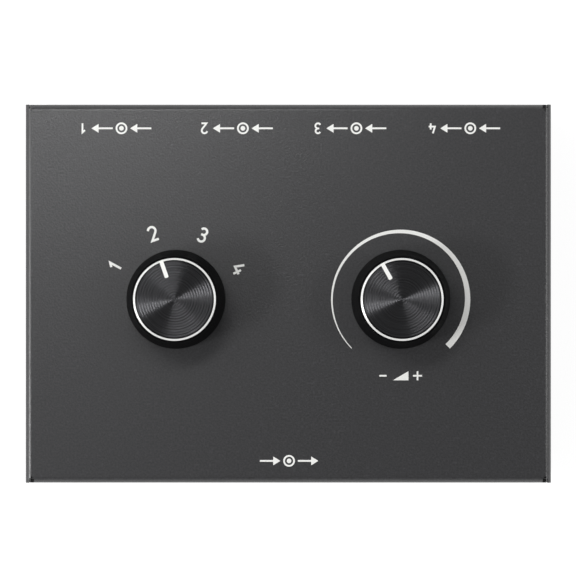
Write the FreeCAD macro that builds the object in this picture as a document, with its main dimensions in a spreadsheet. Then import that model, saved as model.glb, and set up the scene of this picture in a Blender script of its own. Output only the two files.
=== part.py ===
import FreeCAD, Part
import math
import os
import re

import Sketcher

# A passive stereo selector box: a folded steel case with a four-way rotary selector and a volume
# control on its top, four 3.5 mm sockets along the back and one at the front. Millimetres, +Z up,
# +Y to the back. The origin is on the floor, under the middle of the case.

SIZES = (
    # Case: a cover with lips front and back, over a chassis of a floor and two panels
    ("case_width", 139.0, "over the side walls"),
    ("case_depth", 100.0, "over the front and back lips"),
    ("case_height", 36.0, "underside of the floor to top face"),
    ("sheet_wall", 1.0, "steel sheet"),
    ("bend_inner", 0.6, "inside radius of each fold"),
    ("lip_height", 5.0, "front and back lips of the cover"),
    ("case_gap", 0.15, "between the cover and the chassis"),
    ("panel_drop", 0.7, "panels end under the cover's top"),
    ("seam_gap", 0.2, "end of a lip to the side wall"),
    ("notch_mouth", 1.3, "corner relief at the edge"),
    ("notch_extra", 0.15, "corner relief past the fold"),
    ("flange_width", 9.0, "inward flange under each side wall"),
    ("flange_setback", 6.0, "end of a flange to the case front or back"),
    # Feet and the screws of the case
    ("foot_height", 3.0, "rubber foot"),
    ("foot_radius", 6.0, "rubber foot at its face"),
    ("foot_taper", 0.6, "foot radius lost at the ground"),
    ("foot_round", 0.5, "lower edge of a foot"),
    ("foot_inset_across", 14.0, "foot centre to side wall"),
    ("foot_inset_deep", 13.0, "foot centre to front or back"),
    ("case_screw_inset", 5.0, "screw centre to side wall"),
    ("case_screw_from_end", 24.0, "screw centre to front or back"),
    ("screw_radius", 1.45, "thread of an M3 screw, as a plain shank"),
    ("screw_fit", 0.05, "shank to tapped hole"),
    ("screw_clearance", 0.25, "shank to clearance hole"),
    ("screw_head_radius", 2.75, "pan head"),
    ("screw_head_height", 1.9, "pan head"),
    ("screw_head_round", 0.8, "edge of the pan head"),
    ("screw_length", 6.0, "under the head"),
    ("recess_span", 2.9, "cross recess, tip to tip"),
    ("recess_slot", 0.62, "cross recess, width of a slot"),
    ("recess_depth", 1.1, "cross recess"),
    # Where the two controls stand
    ("control_inset", 39.8, "each axis to its side of the case"),
    ("knob_forward", 1.5, "both axes in front of the middle"),
    ("selector_rest", 19.2, "degrees left of straight back"),
    ("volume_rest", 29.0, "degrees left of straight back"),
    ("detent_step", 42.0, "degrees from one position to the next"),
    # Knobs
    ("knob_base_radius", 13.05, "at the panel"),
    ("knob_top_radius", 11.4, "at the rim round the cap"),
    ("knob_height", 16.0, "with its cap"),
    ("knob_gap", 1.0, "panel to knob"),
    ("knob_foot_round", 0.4, "lower outer edge"),
    ("knob_rim_round", 0.3, "upper outer edge"),
    ("skirt_wall", 2.0, "outer wall"),
    ("deck_thick", 2.6, "web under the cap"),
    ("shaft_in_deck", 1.6, "shaft past the underside of the web"),
    ("shaft_end_gap", 0.2, "end of the shaft to the end of its bore"),
    ("knob_fit", 0.02, "shaft to bore"),
    ("hub_radius", 5.2, "round the shaft"),
    ("hub_clearance", 0.8, "bushing end to hub"),
    ("knob_rib", 1.0, "width of a rib between hub and wall"),
    ("rib_drop", 4.0, "height of a rib"),
    ("rim_drop", 0.55, "rim under the top of the cap"),
    ("cap_radius", 10.8, "aluminium disc"),
    ("cap_face_radius", 10.3, "turned face inside the bright edge"),
    ("cap_edge_drop", 0.35, "height of the bright edge"),
    ("cap_thick", 1.4, "aluminium disc"),
    ("cap_fit", 0.03, "disc to its seat"),
    ("pointer_width", 1.05, "milled line"),
    ("pointer_inner", 6.0, "radius of its inner end"),
    ("pointer_depth", 0.2, "milled line"),
    # Shafts, bushings, nuts and washers
    ("shaft_radius", 3.0, "6 mm shaft"),
    ("shaft_flat", 1.5, "axis to the flat"),
    ("shaft_fit", 0.04, "shaft to bushing and to what it carries"),
    ("flat_above_bushing", 0.3, "end of the flat to the bushing"),
    ("bushing_radius", 4.5, "M9 thread, plain"),
    ("bushing_length", 6.0, "above the underside of the panel"),
    ("bushing_clearance", 0.2, "bushing to panel hole"),
    ("washer_radius", 7.4, "toothed washer"),
    ("washer_thick", 0.5, "toothed washer"),
    ("washer_teeth", 14.0, "notches round the washer"),
    ("tooth_notch", 0.45, "radius of a notch"),
    ("nut_across", 12.0, "across flats"),
    ("nut_height", 2.0, "hexagon nut"),
    ("nut_fit", 0.05, "nut or washer to bushing"),
    ("lug_radius", 1.2, "lug that stops the body turning"),
    ("lug_height", 0.9, "lug that stops the body turning"),
    ("lug_clearance", 0.15, "lug to its hole"),
    # Selector switch under the panel
    ("switch_radius", 13.0, "housing"),
    ("switch_flange", 1.5, "metal front plate"),
    ("switch_flange_radius", 12.5, "metal front plate"),
    ("switch_lug_out", 9.5, "axis to lug"),
    ("housing_height", 9.5, "moulded housing"),
    ("housing_wall", 1.6, "moulded housing"),
    ("housing_deck", 1.0, "top of the housing"),
    ("housing_eye", 4.0, "hole in the top of the housing"),
    ("track_radius", 10.2, "lands between the detent notches"),
    ("track_height", 5.0, "toothed track"),
    ("notch_depth", 0.4, "detent notch"),
    ("ball_radius", 1.5, "detent ball"),
    ("ball_gap", 0.06, "ball to land, and ball to its hole"),
    ("rotor_radius", 8.3, "moulded rotor"),
    ("rotor_height", 4.6, "moulded rotor"),
    ("stop_ring_thick", 0.6, "steel ring"),
    ("stop_ring_inner", 4.6, "steel ring"),
    ("stop_pin_radius", 0.8, "pin on the rotor"),
    ("stop_pin_out", 6.6, "axis to stop pin"),
    ("stop_slack", 1.0, "degrees from the last position to the stop"),
    ("part_gap", 0.1, "between pieces that turn and pieces that don't"),
    ("spring_wire", 0.3, "detent spring"),
    ("spring_turns", 6.0, "turns of a detent spring"),
    ("wafer_thick", 2.0, "contact wafer"),
    ("stake_radius", 0.6, "housing pegs through the wafer"),
    ("stake_fit", 0.05, "peg to hole"),
    ("stake_proud", 0.4, "peg below the wafer"),
    ("rivet_circle_radius", 9.4, "axis to outer contacts"),
    ("rivet_radius", 0.9, "rivet head"),
    ("contact_thick", 0.3, "rivet head, common ring and wiper"),
    ("contact_gap", 0.05, "wiper to what it slides on"),
    ("left_ring_radius", 4.6, "radius of the left common ring"),
    ("right_ring_radius", 6.4, "radius of the right common ring"),
    ("ring_half_width", 0.5, "half the width of a common ring"),
    ("wiper_width", 1.4, "contact strip"),
    ("riser_gap", 0.3, "wiper's upright to the common ring"),
    ("riser_inset", 0.2, "wiper's upright inside the rotor's edge"),
    ("pin_radius", 0.4, "soldered pin"),
    ("pin_fit", 0.06, "pin to hole"),
    ("pin_proud", 1.0, "pin below its board"),
    ("wafer_to_board", 2.5, "under the wafer"),
    # Volume control under the panel
    ("pot_radius", 8.5, "housing of each gang"),
    ("pot_plate", 1.2, "front plate"),
    ("pot_leg_width", 2.4, "clamping leg"),
    ("pot_leg_thick", 0.6, "clamping leg"),
    ("pot_lug_out", 6.4, "axis to lug"),
    ("gang_height", 5.4, "one gang"),
    ("gang_wall", 0.8, "one gang"),
    ("gang_floor", 1.0, "one gang"),
    ("gang_eye_gap", 0.16, "shaft to gang"),
    ("tab_half", 6.5, "half the width of a terminal tab"),
    ("tab_thick", 1.6, "terminal tab"),
    ("tab_reach_rear", 2.4, "tab of the lower gang past the housing"),
    ("tab_reach_front", 4.8, "tab of the upper gang past the housing"),
    ("terminal_pitch", 5.0, "between two terminals"),
    ("terminal_edge", 1.1, "terminal centre to tab end"),
    ("terminal_proud", 0.5, "terminal above its tab"),
    ("back_plate", 0.6, "plate under the lower gang"),
    ("track_edge", 0.3, "resistive track to the wall of its gang"),
    ("track_width", 2.4, "resistive track"),
    ("track_thick", 0.3, "resistive track"),
    ("track_sweep", 285.0, "degrees of resistive track"),
    ("wiper_disc_radius", 5.0, "wiper carrier"),
    ("wiper_disc_thick", 1.6, "wiper carrier"),
    ("wiper_short", 0.3, "end of the wiper to the outer edge of the track"),
    ("arm_root", 4.0, "radius where the wiper leaves its carrier"),
    # Boards
    ("board_thick", 1.6, "glass fibre board"),
    ("board_gap", 1.5, "board to side wall or panel"),
    ("jack_board_depth", 22.0, "front to back"),
    ("front_board_half", 20.0, "half the width of the front board"),
    ("control_margin", 3.0, "control board past the switch and the pot"),
    ("control_front", 4.0, "control board past the switch, in front"),
    ("standoff_height", 8.0, "floor to board"),
    ("standoff_across", 5.5, "across flats"),
    ("standoff_spigot", 2.1, "radius pressed into the floor"),
    ("standoff_floor", 1.0, "under the tapped hole"),
    ("standoff_inset", 4.0, "from the board's inner edge, and the front board's ends"),
    ("standoff_gap", 1.3, "outer pair to the cover's flange"),
    # Sockets
    ("jack_inset", 23.0, "outer sockets to the sides of the case"),
    ("jack_width", 12.0, "socket body"),
    ("jack_length", 14.0, "socket body"),
    ("jack_height", 9.6, "socket body"),
    ("jack_edge", 0.6, "upper edges of the body"),
    ("snout_radius", 4.0, "round nose in the panel"),
    ("snout_clearance", 0.15, "nose to panel hole"),
    ("snout_proud", 0.3, "nose past the panel"),
    ("bore_radius", 1.8, "for a 3.5 mm plug"),
    ("ferrule_radius", 2.6, "metal sleeve"),
    ("ferrule_length", 4.0, "metal sleeve"),
    ("ferrule_rim_radius", 3.3, "rim at the mouth"),
    ("ferrule_rim", 0.4, "rim at the mouth"),
    ("ferrule_fit", 0.02, "sleeve to body"),
    ("chamber_radius", 2.9, "behind the sleeve"),
    ("chamber_end", 1.5, "wall behind the chamber"),
    ("spring_strip", 0.3, "contact strip"),
    ("spring_strip_width", 1.4, "contact strip"),
    ("spring_strip_gap", 0.15, "plug to contact strip"),
    ("spring_strip_end", 0.5, "ends of a contact strip to its chamber"),
    ("jack_pin_front", 3.0, "first pin to the front of the body"),
    ("jack_pin_back", 9.0, "other pins to the front of the body"),
    ("jack_pin_aside", 4.0, "other pins to the middle"),
    # Flat cables
    ("cable_across", 2.0, "centre of both cables, right of the middle"),
    ("cable_width", 11.4, "nine cores"),
    ("cable_thick", 0.9, "flat cable"),
    ("cable_bend", 4.5, "outside radius"),
    ("cable_headroom", 1.0, "cable to the underside of the cover"),
    ("header_width", 14.0, "outside"),
    ("header_deep", 6.0, "outside"),
    ("header_height", 6.5, "outside"),
    ("header_wall", 0.9, "outside wall"),
    ("header_floor", 1.5, "under the plug"),
    ("plug_fit", 0.1, "plug to header"),
    ("plug_height", 6.4, "cable plug"),
    ("header_from_edge", 5.0, "header centre to the board's edge"),
)

# Levels and planes that several pieces share
FLOOR_TOP = "(foot_height + sheet_wall)"
CASE_TOP = "(foot_height + case_height)"
PANEL_UNDER = "(foot_height + case_height - sheet_wall)"
BEND_OUTER = "(bend_inner + sheet_wall)"
PANEL_OUT = "(case_depth / 2 - sheet_wall - case_gap)"
PANEL_IN = "(case_depth / 2 - 2 * sheet_wall - case_gap)"
JACK_BOARD_TOP = f"({FLOOR_TOP} + standoff_height + board_thick)"
JACK_AXIS = f"({JACK_BOARD_TOP} + jack_height / 2)"
CONTROL_BOARD_TOP = (
    f"({PANEL_UNDER} - switch_flange - housing_height - wafer_thick - wafer_to_board)"
)
SELECTOR_ACROSS = "(control_inset - case_width / 2)"
VOLUME_ACROSS = "(case_width / 2 - control_inset)"
KNOB_ALONG = "(-knob_forward)"

# Levels measured from the underside of the panel, where each control's own frame has its origin
KNOB_BOTTOM = "(sheet_wall + knob_gap)"
KNOB_TOP = "(sheet_wall + knob_gap + knob_height)"
CAP_SEAT = f"({KNOB_TOP} - cap_thick)"
DECK_UNDER = f"({CAP_SEAT} - deck_thick)"
SHAFT_TOP = f"({DECK_UNDER} + shaft_in_deck)"
HUB_UNDER = "(bushing_length + hub_clearance)"
HOUSING_TOP = "(-switch_flange)"
WAFER_TOP = "(-switch_flange - housing_height)"
STOP_RING_TOP = f"({HOUSING_TOP} - housing_deck)"
ROTOR_TOP = f"({STOP_RING_TOP} - stop_ring_thick - part_gap)"
ROTOR_UNDER = f"({ROTOR_TOP} - rotor_height)"
BALL_LEVEL = f"({ROTOR_TOP} - rotor_height / 2)"
BALL_OUT = "(track_radius - ball_gap - ball_radius)"
UPPER_GANG = "(-pot_plate - gang_height)"
LOWER_GANG = "(-pot_plate - 2 * gang_height)"
TRACK_OUTER = "(pot_radius - part_gap - gang_wall - track_edge)"

# How far a cut starts outside what it cuts, and a boss starts inside what it stands on
OVER = "1"
SINK = "0.5"

# Two measured places this close count as one, in millimetres
SAME = 1e-4

V = FreeCAD.Vector
Z_AXIS = V(0, 0, 1)

doc = FreeCAD.newDocument("SelectorBox")
sheet = doc.addObject("Spreadsheet::Sheet", "Sizes")
for row, (alias, number, meaning) in enumerate(SIZES, start=1):
    sheet.set(f"A{row}", meaning)
    sheet.set(f"B{row}", str(number))
    sheet.setAlias(f"B{row}", alias)
doc.recompute()

NAMES = {alias for alias, number, meaning in SIZES}
node_objects = []


def link(text):
    """The expression with each size named as the document's own expressions name it."""
    return re.sub(r"[a-z_]+", lambda m: "Sizes." + m.group() if m.group() in NAMES else m.group(), text)


def value(text):
    """What an expression comes to now."""
    return float(sheet.evalExpression(link(text)))


def keep(obj, label):
    """Marks an object as a sub-part of the box, under its own name."""
    obj.Label = label
    node_objects.append(obj)
    return obj


# Sketches


def new_body(label, across="0", along="0", up="0", turn="0"):
    """A body whose own frame stands at a place, turned about the vertical by so many degrees."""
    body = doc.addObject("PartDesign::Body", label)
    for axis, text in zip("xyz", (across, along, up)):
        body.setExpression(f"Placement.Base.{axis}", link(text))
    body.setExpression("Placement.Rotation.Angle", link(turn))
    return keep(body, label)


def origin_feature(body, role):
    return next(o for o in body.Origin.OriginFeatures if o.Role == role)


def new_sketch(body, role="XY_Plane", height="0"):
    sketch = body.newObject("Sketcher::SketchObject", "sketch")
    sketch.AttachmentSupport = (origin_feature(body, role), [""])
    sketch.MapMode = "FlatFace"
    if height != "0":
        sketch.setExpression("AttachmentOffset.Base.z", link(height))
    return sketch


def pin_point(sketch, geometry, which, across, up):
    """Ties one point of the sketch to two expressions."""
    for kind, axis, text in (("DistanceX", -2, across), ("DistanceY", -1, up)):
        if text == "0":
            sketch.addConstraint(Sketcher.Constraint("PointOnObject", geometry, which, axis))
        else:
            index = sketch.addConstraint(Sketcher.Constraint(kind, -1, 1, geometry, which, value(text)))
            sketch.setExpression(f"Constraints[{index}]", link(text))


def round_corner(before, corner, after, radius):
    """Where an arc of this radius leaves the two sides of a corner, and its centre."""
    to_before = (before - corner).normalize()
    to_after = (after - corner).normalize()
    half = to_before.getAngle(to_after) / 2
    reach = radius / math.tan(half)
    centre = corner + (to_before + to_after).normalize() * (radius / math.sin(half))
    return corner + to_before * reach, corner + to_after * reach, centre


def outline(sketch, *corners):
    """A closed outline. Each corner is (across, up) or (across, up, radius), as expressions."""
    points = [V(value(c[0]), value(c[1]), 0) for c in corners]
    count = len(corners)
    ends = []
    for i, corner in enumerate(corners):
        if len(corner) == 3:
            ends.append(round_corner(points[i - 1], points[i], points[(i + 1) % count], value(corner[2])))
        else:
            ends.append((points[i], points[i], None))
    sides = [Part.LineSegment(ends[i][1], ends[(i + 1) % count][0]) for i in range(count)]
    lines = [sketch.addGeometry(side, False) for side in sides]
    for i, corner in enumerate(corners):
        before, after = lines[i - 1], lines[i]
        if len(corner) == 2:
            sketch.addConstraint(Sketcher.Constraint("Coincident", before, 2, after, 1))
            pin_point(sketch, after, 1, corner[0], corner[1])
            continue
        arrive, leave, centre = ends[i]
        turns_left = (points[i] - points[i - 1]).cross(points[(i + 1) % count] - points[i]).z > 0
        first, last = (arrive, leave) if turns_left else (leave, arrive)
        start = math.atan2(first.y - centre.y, first.x - centre.x)
        stop = math.atan2(last.y - centre.y, last.x - centre.x)
        arc = sketch.addGeometry(
            Part.ArcOfCircle(Part.Circle(centre, Z_AXIS, value(corner[2])), start, stop), False
        )
        arrive_end, leave_end = (1, 2) if turns_left else (2, 1)
        sketch.addConstraint(Sketcher.Constraint("Tangent", before, 2, arc, arrive_end))
        sketch.addConstraint(Sketcher.Constraint("Tangent", arc, leave_end, after, 1))
        index = sketch.addConstraint(Sketcher.Constraint("Radius", arc, value(corner[2])))
        sketch.setExpression(f"Constraints[{index}]", link(corner[2]))
        tip = sketch.addGeometry(Part.Point(points[i]), True)
        pin_point(sketch, tip, 1, corner[0], corner[1])
        sketch.addConstraint(Sketcher.Constraint("PointOnObject", tip, 1, before))
        sketch.addConstraint(Sketcher.Constraint("PointOnObject", tip, 1, after))


def rectangle(sketch, left, low, right, high):
    outline(sketch, (left, low), (right, low), (right, high), (left, high))


def circle(sketch, across, up, radius):
    centre = V(value(across), value(up), 0)
    ring = sketch.addGeometry(Part.Circle(centre, Z_AXIS, value(radius)), False)
    pin_point(sketch, ring, 3, across, up)
    index = sketch.addConstraint(Sketcher.Constraint("Radius", ring, value(radius)))
    sketch.setExpression(f"Constraints[{index}]", link(radius))


# Features


def pad(body, sketch, length, both_ways=False):
    """Adds the sketch's outline as a solid, along its normal or to both sides."""
    feature = body.newObject("PartDesign::Pad", "pad")
    feature.Profile = sketch
    feature.SideType = "Symmetric" if both_ways else "One side"
    feature.setExpression("Length", link(length))
    doc.recompute()
    return feature


def pocket(body, sketch, depth, both_ways=False, along_normal=False):
    """Cuts the sketch's outline against its normal, to both sides, or along its normal."""
    before = body.Shape.Volume
    feature = body.newObject("PartDesign::Pocket", "pocket")
    feature.Profile = sketch
    feature.SideType = "Symmetric" if both_ways else "One side"
    feature.Reversed = along_normal
    feature.setExpression("Length", link(depth))
    doc.recompute()
    if not body.Shape.Volume < before:
        raise RuntimeError(f"{body.Label}: {feature.Name} cuts nothing")
    return feature


def turned(body, *corners):
    """A solid of revolution about the vertical. Each corner is (radius, height) or has a rounding too."""
    sketch = new_sketch(body, "XZ_Plane")
    outline(sketch, *corners)
    feature = body.newObject("PartDesign::Revolution", "revolution")
    feature.Profile = sketch
    feature.ReferenceAxis = (sketch, ["V_Axis"])
    feature.Angle = 360
    doc.recompute()
    return feature


def around(body, feature, count, sweep="360"):
    """Repeats a feature about the vertical axis."""
    pattern = body.newObject("PartDesign::PolarPattern", "around")
    pattern.Originals = [feature]
    pattern.Axis = (origin_feature(body, "Z_Axis"), [""])
    pattern.setExpression("Occurrences", link(count))
    pattern.setExpression("Angle", link(sweep))
    body.Tip = pattern
    doc.recompute()
    return pattern


def fillet(body, radius, wanted):
    """Rounds the edges of the body that the test picks."""
    base = body.Tip
    edges = [f"Edge{i}" for i, edge in enumerate(body.Shape.Edges, start=1) if wanted(edge)]
    if not edges:
        raise RuntimeError(f"{body.Label}: no edge to round")
    feature = body.newObject("PartDesign::Fillet", "fillet")
    feature.Base = (base, edges)
    feature.setExpression("Radius", link(radius))
    doc.recompute()
    return feature


# Primitives for small pieces that come in groups


def place(obj, across, along, up):
    for axis, text in zip("xyz", (across, along, up)):
        obj.setExpression(f"Placement.Base.{axis}", link(text))
    return obj


def cylinder(radius, height, across, along, up):
    obj = doc.addObject("Part::Cylinder", "cylinder")
    obj.setExpression("Radius", link(radius))
    obj.setExpression("Height", link(height))
    return place(obj, across, along, up)


def block(width, depth, height, across, along, up):
    """A box whose foot is centred at (across, along) and stands at up."""
    obj = doc.addObject("Part::Box", "box")
    obj.setExpression("Length", link(width))
    obj.setExpression("Width", link(depth))
    obj.setExpression("Height", link(height))
    return place(obj, f"{across} - ({width}) / 2", f"{along} - ({depth}) / 2", up)


def prism(across_flats, height, across, along, up):
    obj = doc.addObject("Part::Prism", "prism")
    obj.Polygon = 6
    obj.setExpression("Circumradius", link(f"({across_flats}) / 2 / cos(30)"))
    obj.setExpression("Height", link(height))
    return place(obj, across, along, up)


def fused(*pieces):
    obj = doc.addObject("Part::MultiFuse", "fuse")
    obj.Shapes = list(pieces)
    return obj


def less(base, tool):
    obj = doc.addObject("Part::Cut", "cut")
    obj.Base = base
    obj.Tool = tool
    return obj


def group(label, pieces):
    """Several like solids that share one node."""
    obj = doc.addObject("Part::Compound", label)
    obj.Links = list(pieces)
    return keep(obj, label)


def polar(out, degrees, centre_across, centre_along):
    """A place at a distance from a control's axis, by degrees left of straight back."""
    return (
        f"{centre_across} - {out} * sin({degrees})",
        f"{centre_along} + {out} * cos({degrees})",
    )


SELECTOR_STOPS = [f"(selector_rest + detent_step * {k})" for k in (1, 0, -1, -2)]
JACK_STEP = "((case_width / 2 - jack_inset) * 2 / 3)"
JACK_PLACES = [f"({JACK_STEP} * {k})" for k in (-1.5, -0.5, 0.5, 1.5)]
CASE_SCREWS = [
    (f"({i} * (case_width / 2 - case_screw_inset))", f"({j} * (case_depth / 2 - case_screw_from_end))")
    for i in (-1, 1)
    for j in (-1, 1)
]
BOARD_INNER_EDGE = f"({PANEL_IN} - board_gap - jack_board_depth)"
BACK_BOARD_HALF = "(case_width / 2 - sheet_wall - board_gap)"
STANDOFF_ALONG = f"({BOARD_INNER_EDGE} + standoff_inset)"
STANDOFF_OUTER = "(case_width / 2 - flange_width - standoff_gap - standoff_across / 2 / cos(30))"
STANDOFFS = [
    (f"({i} * {out})", along)
    for out, along in (
        (STANDOFF_OUTER, STANDOFF_ALONG),
        (JACK_STEP, STANDOFF_ALONG),
        ("(front_board_half - standoff_inset)", f"(-{STANDOFF_ALONG})"),
    )
    for i in (-1, 1)
]


def runs_along(edge, out, up):
    """True for an edge of the front or back fold: along X, this far out and this high."""
    box = edge.BoundBox
    return (
        box.XLength > value("case_width / 2")
        and abs(abs(box.Center.y) - out) < SAME
        and abs(box.Center.z - up) < SAME
        and box.YLength < SAME
    )


def make_cover():
    """The top, both side walls with a flange under each, and a lip at the front and back."""
    body = new_body("top_cover")
    half = "case_width / 2"
    inner = f"{half} - sheet_wall"
    profile = new_sketch(body, "XZ_Plane")
    outline(
        profile,
        (f"-({half})", CASE_TOP, BEND_OUTER),
        (f"-({half})", FLOOR_TOP, BEND_OUTER),
        (f"-({half} - flange_width)", FLOOR_TOP),
        (f"-({half} - flange_width)", f"{FLOOR_TOP} + sheet_wall"),
        (f"-({inner})", f"{FLOOR_TOP} + sheet_wall", "bend_inner"),
        (f"-({inner})", PANEL_UNDER, "bend_inner"),
        (inner, PANEL_UNDER, "bend_inner"),
        (inner, f"{FLOOR_TOP} + sheet_wall", "bend_inner"),
        (f"{half} - flange_width", f"{FLOOR_TOP} + sheet_wall"),
        (f"{half} - flange_width", FLOOR_TOP),
        (half, FLOOR_TOP, BEND_OUTER),
        (half, CASE_TOP, BEND_OUTER),
    )
    pad(body, profile, "case_depth", both_ways=True)

    ends = new_sketch(body, "XY_Plane", f"{FLOOR_TOP} + {BEND_OUTER}")
    for side in (-1, 1):
        for end in (-1, 1):
            rectangle(
                ends,
                f"{side} * ({half} - flange_width - {OVER})",
                f"{end} * (case_depth / 2 + {OVER})",
                f"{side} * ({inner})",
                f"{end} * (case_depth / 2 - flange_setback)",
            )
    pocket(body, ends, f"{BEND_OUTER} + {OVER}")

    for end in (-1, 1):
        lip = new_sketch(body, "XY_Plane", f"{CASE_TOP} - lip_height")
        lip_half = f"({inner} - seam_gap)"
        rectangle(
            lip,
            f"-{lip_half}",
            f"{end} * (case_depth / 2 - sheet_wall)",
            lip_half,
            f"{end} * case_depth / 2",
        )
        pad(body, lip, f"lip_height - sheet_wall + {SINK}")

    relief = new_sketch(body, "XY_Plane", f"{CASE_TOP} + {OVER}")
    fold = f"({half} - {BEND_OUTER})"
    for side in (-1, 1):
        for end in (-1, 1):
            mouth = f"{end} * (case_depth / 2 + {OVER})"
            shoulder = f"{end} * (case_depth / 2 - sheet_wall)"
            tip = f"{end} * (case_depth / 2 - {BEND_OUTER} - notch_extra)"
            outline(
                relief,
                (f"{side} * ({fold} - notch_mouth / 2)", mouth),
                (f"{side} * ({fold} + notch_mouth / 2)", mouth),
                (f"{side} * ({fold} + notch_mouth / 2)", shoulder),
                (f"{side} * {fold}", tip),
                (f"{side} * ({fold} - notch_mouth / 2)", shoulder),
            )
    pocket(body, relief, f"{OVER} + {BEND_OUTER} + notch_extra")
    fillet(body, BEND_OUTER, lambda e: runs_along(e, value("case_depth / 2"), value(CASE_TOP)))
    fillet(
        body,
        "bend_inner",
        lambda e: runs_along(e, value("case_depth / 2 - sheet_wall"), value(PANEL_UNDER)),
    )

    holes = new_sketch(body, "XY_Plane", f"{CASE_TOP} + {OVER}")
    for across, lug_out in ((SELECTOR_ACROSS, "switch_lug_out"), (VOLUME_ACROSS, "pot_lug_out")):
        circle(holes, across, KNOB_ALONG, "bushing_radius + bushing_clearance")
        circle(holes, across, f"{KNOB_ALONG} - {lug_out}", "lug_radius + lug_clearance")
    pocket(body, holes, f"{OVER} + sheet_wall + {OVER}")

    taps = new_sketch(body, "XY_Plane", f"{FLOOR_TOP} + sheet_wall + {OVER}")
    for across, along in CASE_SCREWS:
        circle(taps, across, along, "screw_radius + screw_fit")
    pocket(body, taps, f"{OVER} + sheet_wall + {OVER}")


def make_chassis():
    """The floor with the front and back panels that stand up from it, inside the cover."""
    body = new_body("bottom_chassis")
    upper = f"{PANEL_UNDER} - panel_drop"
    profile = new_sketch(body, "YZ_Plane")
    outline(
        profile,
        (f"-{PANEL_OUT}", "foot_height", BEND_OUTER),
        (PANEL_OUT, "foot_height", BEND_OUTER),
        (PANEL_OUT, upper),
        (PANEL_IN, upper),
        (PANEL_IN, FLOOR_TOP, "bend_inner"),
        (f"-{PANEL_IN}", FLOOR_TOP, "bend_inner"),
        (f"-{PANEL_IN}", upper),
        (f"-{PANEL_OUT}", upper),
    )
    pad(body, profile, "case_width", both_ways=True)

    sides = new_sketch(body, "XZ_Plane")
    inside = "(case_width / 2 - sheet_wall - case_gap)"
    for side in (-1, 1):
        rectangle(
            sides,
            f"{side} * {inside}",
            FLOOR_TOP,
            f"{side} * (case_width / 2 + {OVER})",
            CASE_TOP,
        )
    pocket(body, sides, f"case_depth + {OVER}", both_ways=True)

    floor_holes = new_sketch(body, "XY_Plane", f"{FLOOR_TOP} + {OVER}")
    for across, along in CASE_SCREWS:
        circle(floor_holes, across, along, "screw_radius + screw_clearance")
    for across, along in STANDOFFS:
        circle(floor_holes, across, along, "standoff_spigot + screw_fit")
    pocket(body, floor_holes, f"{OVER} + sheet_wall + {OVER}")

    for places, start in ((JACK_PLACES, f"-({PANEL_IN} - {OVER})"), (["0"], f"{PANEL_OUT} + {OVER}")):
        holes = new_sketch(body, "XZ_Plane", start)
        for across in places:
            circle(holes, across, JACK_AXIS, "snout_radius + snout_clearance")
        pocket(body, holes, f"{OVER} + sheet_wall + {OVER}")


def make_feet():
    """Four stick-on rubber feet."""
    for deep, row in ((-1, "front"), (1, "back")):
        for side, hand in ((-1, "left"), (1, "right")):
            body = new_body(
                f"foot_{row}_{hand}",
                f"{side} * (case_width / 2 - foot_inset_across)",
                f"{deep} * (case_depth / 2 - foot_inset_deep)",
            )
            turned(
                body,
                ("0", "0"),
                ("foot_radius - foot_taper", "0", "foot_round"),
                ("foot_radius", "foot_height"),
                ("0", "foot_height"),
            )


def make_knob(name, across, rest):
    """A tapered moulded knob, hollow underneath, with a seat on top for its cap."""
    body = new_body(f"{name}_knob", across, KNOB_ALONG, PANEL_UNDER, rest)
    turned(
        body,
        ("0", HUB_UNDER),
        ("hub_radius", HUB_UNDER),
        ("hub_radius", DECK_UNDER),
        ("knob_top_radius - skirt_wall", DECK_UNDER),
        ("knob_base_radius - skirt_wall", KNOB_BOTTOM),
        ("knob_base_radius", KNOB_BOTTOM, "knob_foot_round"),
        ("knob_top_radius", f"{KNOB_TOP} - rim_drop", "knob_rim_round"),
        ("cap_radius + cap_fit", f"{KNOB_TOP} - rim_drop"),
        ("cap_radius + cap_fit", CAP_SEAT),
        ("0", CAP_SEAT),
    )
    rib = new_sketch(body, "XY_Plane", f"{DECK_UNDER} - rib_drop")
    outside = "knob_top_radius - skirt_wall / 2"
    rectangle(rib, f"hub_radius - {SINK}", "-knob_rib / 2", outside, "knob_rib / 2")
    around(body, pad(body, rib, f"rib_drop + {SINK}"), "4")

    bore = new_sketch(body, "XY_Plane", f"{SHAFT_TOP} + shaft_end_gap")
    d_outline(bore, "shaft_radius + knob_fit", "shaft_flat + knob_fit")
    pocket(body, bore, f"{SHAFT_TOP} + shaft_end_gap - {HUB_UNDER} + {OVER}")


def d_outline(sketch, radius, flat):
    """A circle cut off by a flat on its back side."""
    r, f = value(radius), value(flat)
    corner = math.asin(f / r)
    arc = sketch.addGeometry(
        Part.ArcOfCircle(Part.Circle(V(0, 0, 0), Z_AXIS, r), math.pi - corner, 2 * math.pi + corner), False
    )
    chord = math.sqrt(r * r - f * f)
    line = sketch.addGeometry(Part.LineSegment(V(chord, f, 0), V(-chord, f, 0)), False)
    sketch.addConstraint(Sketcher.Constraint("Coincident", arc, 2, line, 1))
    sketch.addConstraint(Sketcher.Constraint("Coincident", arc, 1, line, 2))
    sketch.addConstraint(Sketcher.Constraint("Coincident", arc, 3, -1, 1))
    sketch.addConstraint(Sketcher.Constraint("Horizontal", line))
    for kind, text, geometry in (("Radius", radius, (arc,)), ("DistanceY", flat, (-1, 1, line, 1))):
        index = sketch.addConstraint(Sketcher.Constraint(kind, *geometry, value(text)))
        sketch.setExpression(f"Constraints[{index}]", link(text))


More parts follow.
